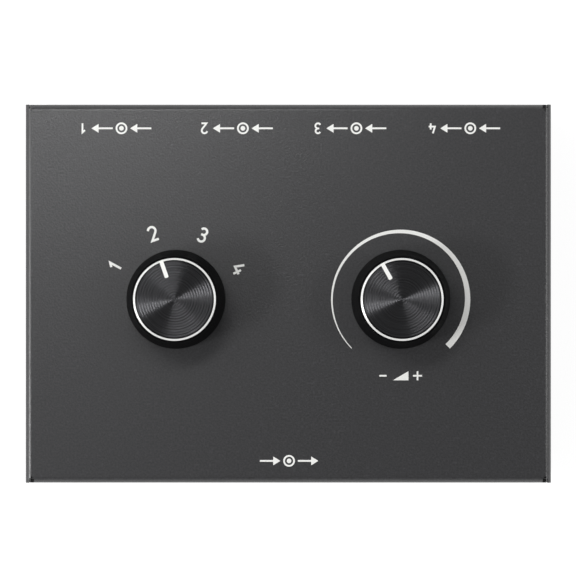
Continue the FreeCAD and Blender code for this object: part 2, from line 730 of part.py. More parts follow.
def make_cap(name, across, rest):
    """The turned aluminium disc in the knob, with its bright sloping edge and the milled pointer."""
    body = new_body(f"{name}_cap", across, KNOB_ALONG, PANEL_UNDER, rest)
    turned(
        body,
        ("0", CAP_SEAT),
        ("cap_radius", CAP_SEAT),
        ("cap_radius", f"{KNOB_TOP} - cap_edge_drop"),
        ("cap_face_radius", KNOB_TOP),
        ("0", KNOB_TOP),
    )
    line = new_sketch(body, "XY_Plane", f"{KNOB_TOP} + {OVER}")
    rectangle(line, "-pointer_width / 2", "pointer_inner", "pointer_width / 2", f"cap_radius + {OVER}")
    pocket(body, line, f"{OVER} + pointer_depth")


def make_shaft(name, across, rest, bottom):
    """A 6 mm shaft with a flat where the knob grips it."""
    body = new_body(f"{name}_shaft", across, KNOB_ALONG, PANEL_UNDER, rest)
    turned(body, ("0", bottom), ("shaft_radius", bottom), ("shaft_radius", SHAFT_TOP), ("0", SHAFT_TOP))
    flat = new_sketch(body, "XY_Plane", f"{SHAFT_TOP} + {OVER}")
    wide = f"(shaft_radius + {OVER})"
    rectangle(flat, f"-{wide}", "shaft_flat", wide, wide)
    pocket(body, flat, f"{OVER} + {SHAFT_TOP} - bushing_length - flat_above_bushing")


def make_bushing(name, across, plate_radius, plate_thick, lug_out):
    """The threaded bushing with its front plate and the lug that stops it turning in the panel."""
    body = new_body(f"{name}_bushing", across, KNOB_ALONG, PANEL_UNDER)
    turned(
        body,
        ("shaft_radius + shaft_fit", f"-{plate_thick}"),
        (plate_radius, f"-{plate_thick}"),
        (plate_radius, "0"),
        ("bushing_radius", "0"),
        ("bushing_radius", "bushing_length"),
        ("shaft_radius + shaft_fit", "bushing_length"),
    )
    lug = new_sketch(body, "XY_Plane", f"-{SINK}")
    circle(lug, "0", f"-{lug_out}", "lug_radius")
    pad(body, lug, f"{SINK} + lug_height")
    return body


def make_fasteners(name, across):
    """The toothed washer and the hexagon nut on a bushing, above the panel."""
    washer = new_body(f"{name}_washer", across, KNOB_ALONG, CASE_TOP)
    ring = new_sketch(washer)
    circle(ring, "0", "0", "washer_radius")
    circle(ring, "0", "0", "bushing_radius + nut_fit")
    pad(washer, ring, "washer_thick")
    notch = new_sketch(washer, "XY_Plane", f"washer_thick + {OVER}")
    circle(notch, "0", "washer_radius", "tooth_notch")
    around(washer, pocket(washer, notch, f"{OVER} + washer_thick + {OVER}"), "washer_teeth")

    level = f"{CASE_TOP} + washer_thick"
    drill = f"nut_height + 2 * {OVER}"
    bore = cylinder("bushing_radius + nut_fit", drill, across, KNOB_ALONG, f"{level} - {OVER}")
    keep(less(prism("nut_across", "nut_height", across, KNOB_ALONG, level), bore), f"{name}_nut")


def arc_slot(sketch, inner, outer, low, high):
    """A ring sector between two radii, by degrees left of straight back in the body's own frame."""
    start, stop = math.radians(90 + value(low)), math.radians(90 + value(high))
    arcs = []
    for radius in (inner, outer):
        arc = sketch.addGeometry(
            Part.ArcOfCircle(Part.Circle(V(0, 0, 0), Z_AXIS, value(radius)), start, stop), False
        )
        sketch.addConstraint(Sketcher.Constraint("Coincident", arc, 3, -1, 1))
        index = sketch.addConstraint(Sketcher.Constraint("Radius", arc, value(radius)))
        sketch.setExpression(f"Constraints[{index}]", link(radius))
        arcs.append(arc)
    for end, text in ((1, low), (2, high)):
        points = [sketch.getPoint(arc, end) for arc in arcs]
        line = sketch.addGeometry(Part.LineSegment(*points), False)
        sketch.addConstraint(Sketcher.Constraint("Coincident", arcs[0], end, line, 1))
        sketch.addConstraint(Sketcher.Constraint("Coincident", arcs[1], end, line, 2))
        sketch.addConstraint(Sketcher.Constraint("PointOnObject", -1, 1, line))
        turn = f"90 + {text}"
        index = sketch.addConstraint(Sketcher.Constraint("Angle", line, math.radians(value(turn))))
        sketch.setExpression(f"Constraints[{index}]", link(f"({turn}) * 1deg"))


def make_selector_switch():
    """The rotary switch: housing with a notched track, rotor with two balls, wafer and contacts."""
    fixed = (SELECTOR_ACROSS, KNOB_ALONG, PANEL_UNDER, "selector_rest")
    make_bushing("selector", SELECTOR_ACROSS, "switch_flange_radius", "switch_flange", "switch_lug_out")

    housing = new_body("selector_housing", *fixed)
    inside = "switch_radius - housing_wall"
    track_under = f"{STOP_RING_TOP} - stop_ring_thick - track_height"
    turned(
        housing,
        ("housing_eye", HOUSING_TOP),
        ("housing_eye", STOP_RING_TOP),
        (inside, STOP_RING_TOP),
        (inside, f"{STOP_RING_TOP} - stop_ring_thick"),
        ("track_radius", f"{STOP_RING_TOP} - stop_ring_thick"),
        ("track_radius", track_under),
        (inside, track_under),
        (inside, WAFER_TOP),
        ("switch_radius", WAFER_TOP),
        ("switch_radius", HOUSING_TOP),
    )
    for side in (-1, 1):
        notch = new_sketch(housing, "XY_Plane", f"{STOP_RING_TOP} - stop_ring_thick")
        first_out = f"{side} * (track_radius + notch_depth - ball_radius)"
        circle(
            notch,
            f"-({first_out}) * sin(-2 * detent_step)",
            f"({first_out}) * cos(-2 * detent_step)",
            "ball_radius",
        )
        around(housing, pocket(housing, notch, "track_height"), "4", "3 * detent_step")
    pegs = new_sketch(housing, "XY_Plane", f"{WAFER_TOP} - wafer_thick - stake_proud")
    for side in (-1, 1):
        circle(pegs, f"{side} * (switch_radius - housing_wall / 2)", "0", "stake_radius")
    pad(housing, pegs, f"stake_proud + wafer_thick + {SINK}")

    ring = new_body("selector_stop_ring", *fixed)
    disc = new_sketch(ring, "XY_Plane", f"{STOP_RING_TOP} - stop_ring_thick")
    circle(disc, "0", "0", f"{inside} - stake_fit")
    circle(disc, "0", "0", "stop_ring_inner")
    pad(ring, disc, "stop_ring_thick")
    window = new_sketch(ring, "XY_Plane", f"{STOP_RING_TOP} + {OVER}")
    pin_angle = "(asin((stop_pin_radius + part_gap) / stop_pin_out) / 1deg)"
    arc_slot(
        window,
        "stop_pin_out - stop_pin_radius - part_gap",
        "stop_pin_out + stop_pin_radius + part_gap",
        f"-(2 * detent_step + stop_slack) - {pin_angle}",
        f"detent_step + stop_slack + {pin_angle}",
    )
    pocket(ring, window, f"{OVER} + stop_ring_thick + {OVER}")

    rotor = new_body("selector_rotor", *fixed)
    turned(
        rotor,
        ("shaft_radius + shaft_fit", ROTOR_UNDER),
        ("rotor_radius", ROTOR_UNDER),
        ("rotor_radius", ROTOR_TOP),
        ("shaft_radius + shaft_fit", ROTOR_TOP),
    )
    stop_pin = new_sketch(rotor, "XY_Plane", f"{ROTOR_TOP} - {SINK}")
    circle(stop_pin, "0", "stop_pin_out", "stop_pin_radius")
    pad(rotor, stop_pin, f"{SINK} + part_gap + stop_ring_thick")
    tunnel = new_sketch(rotor, "XZ_Plane")
    circle(tunnel, "0", BALL_LEVEL, "ball_radius + ball_gap")
    pocket(rotor, tunnel, f"2 * (rotor_radius + {OVER})", both_ways=True)

    make_shaft("selector", SELECTOR_ACROSS, "selector_rest", f"{WAFER_TOP} + contact_thick + part_gap")
    make_detent()
    make_wafer(fixed)


def make_detent():
    """The two balls that rest in the notches and the coil spring behind each."""
    balls = []
    for turn in ("selector_rest", "(selector_rest + 180)"):
        ball = doc.addObject("Part::Sphere", "ball")
        ball.setExpression("Radius", link("ball_radius"))
        across, along = polar(BALL_OUT, turn, SELECTOR_ACROSS, KNOB_ALONG)
        balls.append(place(ball, across, along, f"{PANEL_UNDER} + {BALL_LEVEL}"))
    group("selector_detent_balls", balls)

    inner = value("shaft_radius + part_gap + spring_wire / 2")
    outer = value(f"{BALL_OUT} - ball_radius - part_gap - spring_wire / 2")
    coil_radius = value("ball_radius - spring_wire")
    length, wire, turns = outer - inner, value("spring_wire"), value("spring_turns")
    coil = Part.makeHelix(length / turns, length, coil_radius)
    start = coil.Edges[0].valueAt(coil.Edges[0].FirstParameter)
    heading = coil.Edges[0].tangentAt(coil.Edges[0].FirstParameter)
    section = Part.Wire([Part.Edge(Part.Circle(start, heading, wire / 2))])
    solid = Part.Wire(coil.Edges).makePipeShell([section], True, True)
    springs = []
    for half_turn in (0, 180):
        spring = solid.copy()
        spring.Placement = FreeCAD.Placement(V(0, inner, 0), FreeCAD.Rotation(V(1, 0, 0), -90))
        turned_about = FreeCAD.Rotation(Z_AXIS, value("selector_rest") + half_turn)
        at = V(value(SELECTOR_ACROSS), value(KNOB_ALONG), value(f"{PANEL_UNDER} + {BALL_LEVEL}"))
        springs.append(spring.transformed(FreeCAD.Placement(at, turned_about).toMatrix()))
    holder = doc.addObject("Part::Feature", "selector_detent_springs")
    holder.Shape = Part.makeCompound(springs)
    keep(holder, "selector_detent_springs")


def pole_places():
    """Each outer contact of the two poles: its angle, left pole first, by position."""
    return [f"({angle} + {pole})" for pole in (0, 180) for angle in SELECTOR_STOPS]


def make_wafer(fixed):
    """The moulded wafer, its riveted contacts and common rings, and the wipers that cross them."""
    wafer = new_body("selector_wafer", *fixed)
    disc = new_sketch(wafer, "XY_Plane", f"{WAFER_TOP} - wafer_thick")
    circle(disc, "0", "0", "switch_radius")
    hole = "pin_radius + pin_fit"
    for side in (-1, 1):
        circle(disc, f"{side} * (switch_radius - housing_wall / 2)", "0", "stake_radius + stake_fit")
    for pole in (0, 180):
        for k in (1, 0, -1, -2):
            angle = f"({k} * detent_step + {pole})"
            circle(disc, f"-rivet_circle_radius * sin({angle})", f"rivet_circle_radius * cos({angle})", hole)
    circle(disc, "-left_ring_radius", "0", hole)
    circle(disc, "right_ring_radius", "0", hole)
    pad(wafer, disc, "wafer_thick")

    top = f"({PANEL_UNDER} + {WAFER_TOP})"
    pin_under = f"({CONTROL_BOARD_TOP} - board_thick - pin_proud)"
    pin_length = f"{top} - {pin_under} + contact_thick / 2"
    rivets = []
    for angle in pole_places():
        across, along = polar("rivet_circle_radius", angle, SELECTOR_ACROSS, KNOB_ALONG)
        head = cylinder("rivet_radius", "contact_thick", across, along, top)
        pin = cylinder("pin_radius", pin_length, across, along, pin_under)
        rivets.append(fused(head, pin))
    group("selector_contacts", rivets)

    rings = []
    for radius, turn in (("left_ring_radius", 90), ("right_ring_radius", 270)):
        across, along = polar(radius, f"(selector_rest + {turn})", SELECTOR_ACROSS, KNOB_ALONG)
        rim = cylinder(f"{radius} + ring_half_width", "contact_thick", SELECTOR_ACROSS, KNOB_ALONG, top)
        eye = cylinder(
            f"{radius} - ring_half_width",
            f"contact_thick + 2 * {OVER}",
            SELECTOR_ACROSS,
            KNOB_ALONG,
            f"{top} - {OVER}",
        )
        pin = cylinder("pin_radius", pin_length, across, along, pin_under)
        rings.append(fused(less(rim, eye), pin))
    group("selector_common_rings", rings)

    wipers = new_body("selector_wipers", *fixed)
    level = f"{WAFER_TOP} + contact_thick + contact_gap"
    strip = new_sketch(wipers, "XY_Plane", level)
    riser = new_sketch(wipers, "XY_Plane", level)
    for side, radius in ((1, "left_ring_radius"), (-1, "right_ring_radius")):
        rectangle(
            strip,
            "-wiper_width / 2",
            f"{side} * ({radius} - ring_half_width)",
            "wiper_width / 2",
            f"{side} * (rivet_circle_radius + rivet_radius / 2)",
        )
        rectangle(
            riser,
            "-wiper_width / 2",
            f"{side} * (right_ring_radius + ring_half_width + riser_gap)",
            "wiper_width / 2",
            f"{side} * (rotor_radius - riser_inset)",
        )
    pad(wipers, strip, "contact_thick")
    pad(wipers, riser, f"{ROTOR_UNDER} - ({level})")


def make_volume_control():
    """The two-gang potentiometer: front plate with legs, two gangs, tracks, wipers and terminals."""
    plate = make_bushing("volume", VOLUME_ACROSS, "pot_radius", "pot_plate", "pot_lug_out")
    outside = "pot_radius + pot_leg_thick"
    leg = new_sketch(plate, "XY_Plane", f"{LOWER_GANG} - back_plate")
    rectangle(leg, "pot_radius", "-pot_leg_width / 2", outside, "pot_leg_width / 2")
    upright = pad(plate, leg, f"back_plate - ({LOWER_GANG})")
    joint = new_sketch(plate, "XY_Plane", "-pot_plate")
    rectangle(joint, f"pot_radius - {SINK}", "-pot_leg_width / 2", outside, "pot_leg_width / 2")
    bridge = pad(plate, joint, "pot_plate")
    for feature in (upright, bridge):
        around(plate, feature, "3", "180")

    for name, level, reach in (
        ("upper", UPPER_GANG, "tab_reach_front"),
        ("lower", LOWER_GANG, "tab_reach_rear"),
    ):
        make_gang(name, level, reach)

    place_of = (VOLUME_ACROSS, KNOB_ALONG, PANEL_UNDER)
    back = new_body("volume_back_plate", *place_of)
    disc = new_sketch(back, "XY_Plane", f"{LOWER_GANG} - back_plate")
    circle(disc, "0", "0", "pot_radius - part_gap")
    pad(back, disc, "back_plate")

    make_shaft("volume", VOLUME_ACROSS, "volume_rest", f"{LOWER_GANG} + gang_floor + part_gap")

    wiper_level = "gang_floor + track_thick + contact_gap"
    wipers = new_body("volume_wipers", *place_of, "volume_rest")
    for level in (UPPER_GANG, LOWER_GANG):
        carrier = new_sketch(wipers, "XY_Plane", f"{level} + {wiper_level}")
        circle(carrier, "0", "0", "wiper_disc_radius")
        circle(carrier, "0", "0", "shaft_radius + shaft_fit")
        pad(wipers, carrier, "wiper_disc_thick")
        arm = new_sketch(wipers, "XY_Plane", f"{level} + {wiper_level}")
        rectangle(arm, "-wiper_width / 2", "arm_root", "wiper_width / 2", f"{TRACK_OUTER} - wiper_short")
        pad(wipers, arm, "contact_thick")

    under = f"({CONTROL_BOARD_TOP} - board_thick - pin_proud)"
    pins = []
    for level, reach in ((UPPER_GANG, "tab_reach_front"), (LOWER_GANG, "tab_reach_rear")):
        along = f"({KNOB_ALONG} - pot_radius - {reach} + terminal_edge)"
        top = f"({PANEL_UNDER} + {level} + tab_thick + terminal_proud)"
        for k in (-1, 0, 1):
            across = f"({VOLUME_ACROSS} + {k} * terminal_pitch)"
            pins.append(cylinder("pin_radius", f"{top} - {under}", across, along, under))
    group("volume_terminals", pins)


def make_gang(name, level, reach):
    """One gang of the pot: an open cup with a tab for its three terminals, and its carbon track."""
    body = new_body(f"volume_{name}_gang", VOLUME_ACROSS, KNOB_ALONG, PANEL_UNDER)
    eye = "shaft_radius + gang_eye_gap"
    turned(
        body,
        (eye, level),
        ("pot_radius - part_gap", level),
        ("pot_radius - part_gap", f"{level} + gang_height"),
        (eye, f"{level} + gang_height"),
    )
    tab = new_sketch(body, "XY_Plane", level)
    rectangle(tab, "-tab_half", f"-(pot_radius + {reach})", "tab_half", f"-({eye} + {SINK})")
    pad(body, tab, "tab_thick")
    hollow = new_sketch(body, "XY_Plane", f"{level} + gang_height")
    circle(hollow, "0", "0", "pot_radius - part_gap - gang_wall")
    pocket(body, hollow, "gang_height - gang_floor")
    holes = new_sketch(body, "XY_Plane", f"{level} + tab_thick + {OVER}")
    for k in (-1, 0, 1):
        along = f"-(pot_radius + {reach} - terminal_edge)"
        circle(holes, f"{k} * terminal_pitch", along, "pin_radius + pin_fit")
    pocket(body, holes, f"{OVER} + tab_thick + {OVER}")

    track = new_body(f"volume_{name}_track", VOLUME_ACROSS, KNOB_ALONG, PANEL_UNDER)
    band = new_sketch(track, "XY_Plane", f"{level} + gang_floor")
    arc_slot(band, f"{TRACK_OUTER} - track_width", TRACK_OUTER, "-track_sweep / 2", "track_sweep / 2")
    pad(track, band, "track_thick")


def make_control_board():
    """The board that the switch and the pot are soldered to."""
    body = new_body("control_board", up=f"{CONTROL_BOARD_TOP} - board_thick")
    face = new_sketch(body)
    rectangle(
        face,
        f"{SELECTOR_ACROSS} - switch_radius - control_margin",
        f"{KNOB_ALONG} - switch_radius - control_front",
        f"{VOLUME_ACROSS} + pot_radius + pot_leg_thick + control_margin",
        f"{KNOB_ALONG} + switch_radius + control_margin",
    )
    hole = "pin_radius + pin_fit"
    for angle in pole_places():
        circle(face, *polar("rivet_circle_radius", angle, SELECTOR_ACROSS, KNOB_ALONG), hole)
    circle(face, *polar("left_ring_radius", "(selector_rest + 90)", SELECTOR_ACROSS, KNOB_ALONG), hole)
    circle(face, *polar("right_ring_radius", "(selector_rest + 270)", SELECTOR_ACROSS, KNOB_ALONG), hole)
    for reach in ("tab_reach_front", "tab_reach_rear"):
        for k in (-1, 0, 1):
            circle(
                face,
                f"{VOLUME_ACROSS} + {k} * terminal_pitch",
                f"{KNOB_ALONG} - pot_radius - {reach} + terminal_edge",
                hole,
            )
    pad(body, face, "board_thick")


# The three pins of a socket, from its middle and from the front of its body
JACK_PINS = (
    ("0", "jack_pin_front"),
    ("-jack_pin_aside", "jack_pin_back"),
    ("jack_pin_aside", "jack_pin_back"),
)


def make_jack_board(label, half_width, end, jacks, standoffs):
    """A board for sockets, along the back (end 1) or the front (end -1)."""
    body = new_body(label, up=f"{JACK_BOARD_TOP} - board_thick")
    face = new_sketch(body)
    rectangle(
        face,
        f"-{half_width}",
        f"{end} * {BOARD_INNER_EDGE}",
        half_width,
        f"{end} * ({PANEL_IN} - board_gap)",
    )
    for across, along in standoffs:
        circle(face, across, along, "screw_radius + screw_clearance")
    for across in jacks:
        for aside, back in JACK_PINS:
            along = f"{end} * ({PANEL_IN} - case_gap - {back})"
            circle(face, f"{across} + {aside}", along, "pin_radius + pin_fit")
    pad(body, face, "board_thick")


def make_jack(name, across, end):
    """A moulded 3.5 mm stereo socket with its round nose in the panel."""
    body = new_body(f"jack_{name}", across, "0", JACK_AXIS, "0" if end > 0 else "180")
    front = f"({PANEL_IN} - case_gap)"
    nose = f"({PANEL_OUT} + snout_proud)"
    case = new_sketch(body, "XZ_Plane", f"-{front}")
    half = "jack_width / 2"
    outline(
        case,
        (f"-{half}", "-jack_height / 2"),
        (half, "-jack_height / 2"),
        (half, "jack_height / 2", "jack_edge"),
        (f"-{half}", "jack_height / 2", "jack_edge"),
    )
    pad(body, case, "jack_length")
    snout = new_sketch(body, "XZ_Plane", f"-{nose}")
    circle(snout, "0", "0", "snout_radius")
    pad(body, snout, f"{nose} - {front} + {SINK}")
    for radius, start, depth in (
        ("chamber_radius", "ferrule_length", "jack_length - chamber_end - ferrule_length"),
        ("ferrule_radius + ferrule_fit", "0", "ferrule_length"),
        ("ferrule_rim_radius + ferrule_fit", "0", "ferrule_rim"),
    ):
        bore = new_sketch(body, "XZ_Plane", f"-({nose} - {start})")
        circle(bore, "0", "0", radius)
        pocket(body, bore, depth, along_normal=True)


def make_ferrules(jacks):
    """The plated sleeve in the mouth of each socket."""
    sleeves = []
    for across, end in jacks:
        mouth = f"{end} * ({PANEL_OUT} + snout_proud)"
        rim = lying("ferrule_rim_radius", "ferrule_rim", across, mouth, JACK_AXIS, end)
        barrel = lying("ferrule_radius", "ferrule_length", across, mouth, JACK_AXIS, end)
        start = f"{mouth} + {end} * {OVER}"
        bore = lying("bore_radius", f"ferrule_length + 2 * {OVER}", across, start, JACK_AXIS, end)
        sleeves.append(less(fused(rim, barrel), bore))
    group("jack_ferrules", sleeves)


def lying(radius, length, across, mouth, up, end):
    """A cylinder that runs inwards from the mouth of a socket."""
    obj = cylinder(radius, length, across, mouth, up)
    obj.Placement.Rotation = FreeCAD.Rotation(V(1, 0, 0), 90 * end)
    return obj


def make_contacts(jacks):
    """Two contact strips inside each socket and the three pins under it."""
    strips, pins = [], []
    length = "(jack_length - chamber_end - ferrule_length - 2 * spring_strip_end)"
    above = f"{JACK_AXIS} + bore_radius + spring_strip_gap"
    below = f"{JACK_AXIS} - bore_radius - spring_strip_gap - spring_strip"
    foot = f"{JACK_BOARD_TOP} - board_thick - pin_proud"
    for across, end in jacks:
        middle = f"{end} * ({PANEL_OUT} + snout_proud - ferrule_length - spring_strip_end - {length} / 2)"
        for level in (above, below):
            strips.append(block("spring_strip_width", length, "spring_strip", across, middle, level))
        for aside, back in JACK_PINS:
            along = f"{end} * ({PANEL_IN} - case_gap - {back})"
            pins.append(cylinder("pin_radius", "board_thick + pin_proud", f"{across} + {aside}", along, foot))
    group("jack_contact_strips", strips)
    group("jack_pins", pins)


def make_standoffs():
    """Hexagon spacers pressed into the floor."""
    posts = []
    for across, along in STANDOFFS:
        hexagon = prism("standoff_across", "standoff_height", across, along, FLOOR_TOP)
        spigot = cylinder("standoff_spigot", f"sheet_wall + {SINK}", across, along, "foot_height")
        tapped = cylinder(
            "screw_radius + screw_fit",
            "standoff_height",
            across,
            along,
            f"{FLOOR_TOP} + standoff_floor",
        )
        posts.append(less(fused(hexagon, spigot), tapped))
    group("board_standoffs", posts)


def pan_head_screw(across, along, seat, facing):
    """An M3 pan head screw with a cross recess; its head faces up (1) or down (-1)."""
    if facing > 0:
        head_foot, outer, shank_foot = seat, f"{seat} + screw_head_height", f"{seat} - screw_length"
        slot_foot = f"{outer} - recess_depth"
    else:
        head_foot, outer, shank_foot = f"{seat} - screw_head_height", f"{seat} - screw_head_height", seat
        slot_foot = f"{outer} - {OVER}"
    head = cylinder("screw_head_radius", "screw_head_height", across, along, head_foot)
    doc.recompute()
    rim = [
        i
        for i, edge in enumerate(head.Shape.Edges, start=1)
        if edge.BoundBox.ZLength < SAME and abs(edge.BoundBox.Center.z - value(outer)) < SAME
    ]
    rounded = doc.addObject("Part::Fillet", "rounded")
    rounded.Base = head
    rounded.Edges = [(i, value("screw_head_round"), value("screw_head_round")) for i in rim]
    shank = cylinder("screw_radius", "screw_length", across, along, shank_foot)
    slots = [
        block(width, depth, f"recess_depth + {OVER}", across, along, slot_foot)
        for width, depth in (("recess_span", "recess_slot"), ("recess_slot", "recess_span"))
    ]
    return less(fused(rounded, shank), fused(*slots))


def make_screws():
    group("case_screws", [pan_head_screw(x, y, "foot_height", -1) for x, y in CASE_SCREWS])
    group("board_screws", [pan_head_screw(x, y, JACK_BOARD_TOP, 1) for x, y in STANDOFFS])


def make_cable(name, across, end):
    """A flat cable that arches from a socket board to the control board, with a plug at each end."""
    outer_along = f"({end} * ({BOARD_INNER_EDGE} + header_from_edge))"
    if end > 0:
        inner_along = f"({KNOB_ALONG} + switch_radius + control_margin - header_from_edge)"
    else:
        inner_along = f"({KNOB_ALONG} - switch_radius - control_front + header_from_edge)"
    plug_top = "(header_floor + plug_height)"
    half = "(cable_thick / 2)"
    top = f"({PANEL_UNDER} - cable_headroom)"
    body = new_body(f"{name}_cable", across)
    path = new_sketch(body, "YZ_Plane")
    corners = (
        (f"{outer_along} + {end} * {half}", f"{JACK_BOARD_TOP} + {plug_top}"),
        (f"{outer_along} + {end} * {half}", top, "cable_bend"),
        (f"{inner_along} - {end} * {half}", top, "cable_bend"),
        (f"{inner_along} - {end} * {half}", f"{CONTROL_BOARD_TOP} + {plug_top}"),
        (f"{inner_along} + {end} * {half}", f"{CONTROL_BOARD_TOP} + {plug_top}"),
        (f"{inner_along} + {end} * {half}", f"{top} - cable_thick", "cable_bend - cable_thick"),
        (f"{outer_along} - {end} * {half}", f"{top} - cable_thick", "cable_bend - cable_thick"),
        (f"{outer_along} - {end} * {half}", f"{JACK_BOARD_TOP} + {plug_top}"),
    )
    outline(path, *corners)
    pad(body, path, "cable_width", both_ways=True)

    headers, plugs = [], []
    for along, board in ((outer_along, JACK_BOARD_TOP), (inner_along, CONTROL_BOARD_TOP)):
        shroud = block("header_width", "header_deep", "header_height", across, along, board)
        room = block(
            "header_width - 2 * header_wall",
            "header_deep - 2 * header_wall",
            "header_height",
            across,
            along,
            f"{board} + header_floor",
        )
        headers.append(less(shroud, room))
        plugs.append(
            block(
                "header_width - 2 * (header_wall + plug_fit)",
                "header_deep - 2 * (header_wall + plug_fit)",
                "plug_height",
                across,
                along,
                f"{board} + header_floor",
            )
        )
    group(f"{name}_cable_headers", headers)
    group(f"{name}_cable_plugs", plugs)


def export_nodes():
    """Checks every object and writes each sub-part to its own file."""
    doc.recompute()
    for obj in doc.Objects:
        if {"Invalid", "Error"} & set(obj.State):
            raise RuntimeError(f"{obj.Label} failed: {obj.State}")
    os.makedirs("parts", exist_ok=True)
    for obj in node_objects:
        shape = obj.Shape
        if shape.isNull() or not shape.isValid() or not shape.Solids:
            raise RuntimeError(f"{obj.Label} has no valid solid")
        shape.exportStep(os.path.join("parts", obj.Label + ".step"))
    print(len(node_objects), "sub-parts,", sum(len(o.Shape.Solids) for o in node_objects), "solids")


def main():
    make_cover()
    make_chassis()
    make_feet()
    for name, across, rest in (
        ("selector", SELECTOR_ACROSS, "selector_rest"),
        ("volume", VOLUME_ACROSS, "volume_rest"),
    ):
        make_knob(name, across, rest)
        make_cap(name, across, rest)
        make_fasteners(name, across)
    make_selector_switch()
    make_volume_control()
    make_control_board()
    jacks = [(across, 1) for across in JACK_PLACES] + [("0", -1)]
    for name, (across, end) in zip(("one", "two", "three", "four", "front"), jacks):
        make_jack(name, across, end)
    make_ferrules(jacks)
    make_contacts(jacks)
    make_jack_board("back_jack_board", BACK_BOARD_HALF, 1, JACK_PLACES, STANDOFFS[:4])
    make_jack_board("front_jack_board", "front_board_half", -1, ["0"], STANDOFFS[4:])
    make_standoffs()
    make_screws()
    make_cable("back", "cable_across", 1)
    make_cable("front", "cable_across", -1)
    export_nodes()


main()
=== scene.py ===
import math

import bmesh
import bpy
from bpy.props import FloatProperty, PointerProperty, StringProperty
from mathutils import Matrix, Vector


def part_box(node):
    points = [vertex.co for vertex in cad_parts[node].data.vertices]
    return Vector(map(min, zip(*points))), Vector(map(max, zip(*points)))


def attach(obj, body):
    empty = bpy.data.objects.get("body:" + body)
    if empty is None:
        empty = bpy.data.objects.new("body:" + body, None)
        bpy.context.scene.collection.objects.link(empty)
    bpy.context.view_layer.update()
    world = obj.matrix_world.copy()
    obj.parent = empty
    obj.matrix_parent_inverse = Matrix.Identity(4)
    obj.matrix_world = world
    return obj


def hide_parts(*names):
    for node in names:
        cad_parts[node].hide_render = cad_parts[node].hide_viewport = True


bl_info = {
    "name": "Selector box",
    "version": (1, 0, 0),
    "blender": (4, 5, 0),
    "location": "3D View > Sidebar > Selector box",
    "description": "Finishes a desktop stereo selector box: coated steel case, turned knob caps, white print",
    "category": "Object",
}

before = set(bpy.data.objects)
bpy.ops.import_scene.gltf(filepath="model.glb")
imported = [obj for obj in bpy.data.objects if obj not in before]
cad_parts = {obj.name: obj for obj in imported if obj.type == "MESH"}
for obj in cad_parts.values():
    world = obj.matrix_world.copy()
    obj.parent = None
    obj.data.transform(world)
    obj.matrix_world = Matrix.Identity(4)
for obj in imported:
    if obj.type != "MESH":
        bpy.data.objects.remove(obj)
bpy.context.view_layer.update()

MM = 0.001
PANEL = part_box("top_cover")[1].z
SOCKETS = ("jack_one", "jack_two", "jack_three", "jack_four", "jack_front")
# Half the width that the print's sharp points keep, so that their solids stay closed
TIP = 0.02 * MM
# Where two printed lines cross, the second is this much thicker, so that their tops don't coincide
CROSSING = 1.1


def to_linear(hex_colour):
    """An sRGB hex colour as the linear colour that a shader takes."""
    parts = [int(hex_colour[i : i + 2], 16) / 255 for i in (1, 3, 5)]
    return (*[c / 12.92 if c <= 0.04045 else ((c + 0.055) / 1.055) ** 2.4 for c in parts], 1.0)


def middle(node):
    """The middle of a CAD node's box."""
    low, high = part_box(node)
    return (low + high) / 2


def add(tree, kind, inputs=None, **settings):
    """Adds a node with its settings. An input takes a number, a colour or another node's output."""
    made = tree.nodes.new(kind)
    for name, setting in settings.items():
        setattr(made, name, setting)
    for name, given in (inputs or {}).items():
        socket = made.inputs[name]
        if isinstance(given, bpy.types.NodeSocket):
            tree.links.new(given, socket)
        else:
            socket.default_value = given
    return made


# Sizes and colours that a user would change


class CaseLook(bpy.types.PropertyGroup):
    colour: StringProperty(
        name="Coat colour", description="sRGB colour of the powder coat", default="#28282a"
    )
    grain: FloatProperty(
        name="Grain", description="Size of a grain of the powder coat", default=0.5 * MM, unit="LENGTH"
    )
    grain_height: FloatProperty(
        name="Grain height", description="Height of a grain of the coat", default=0.045 * MM, unit="LENGTH"
    )
    # The pale specks below are painted glints: small spots of the coat's colour made paler as sparkle
    speck: FloatProperty(
        name="Speck spacing", description="Spacing of the pale specks", default=0.9 * MM, unit="LENGTH"
    )
    glint_tone: FloatProperty(
        name="Speck tone", description="How much paler a speck is", default=0.35, subtype="FACTOR"
    )
    gloss: FloatProperty(
        name="Gloss", description="Strength of the coat's reflection", default=0.93, subtype="FACTOR"
    )


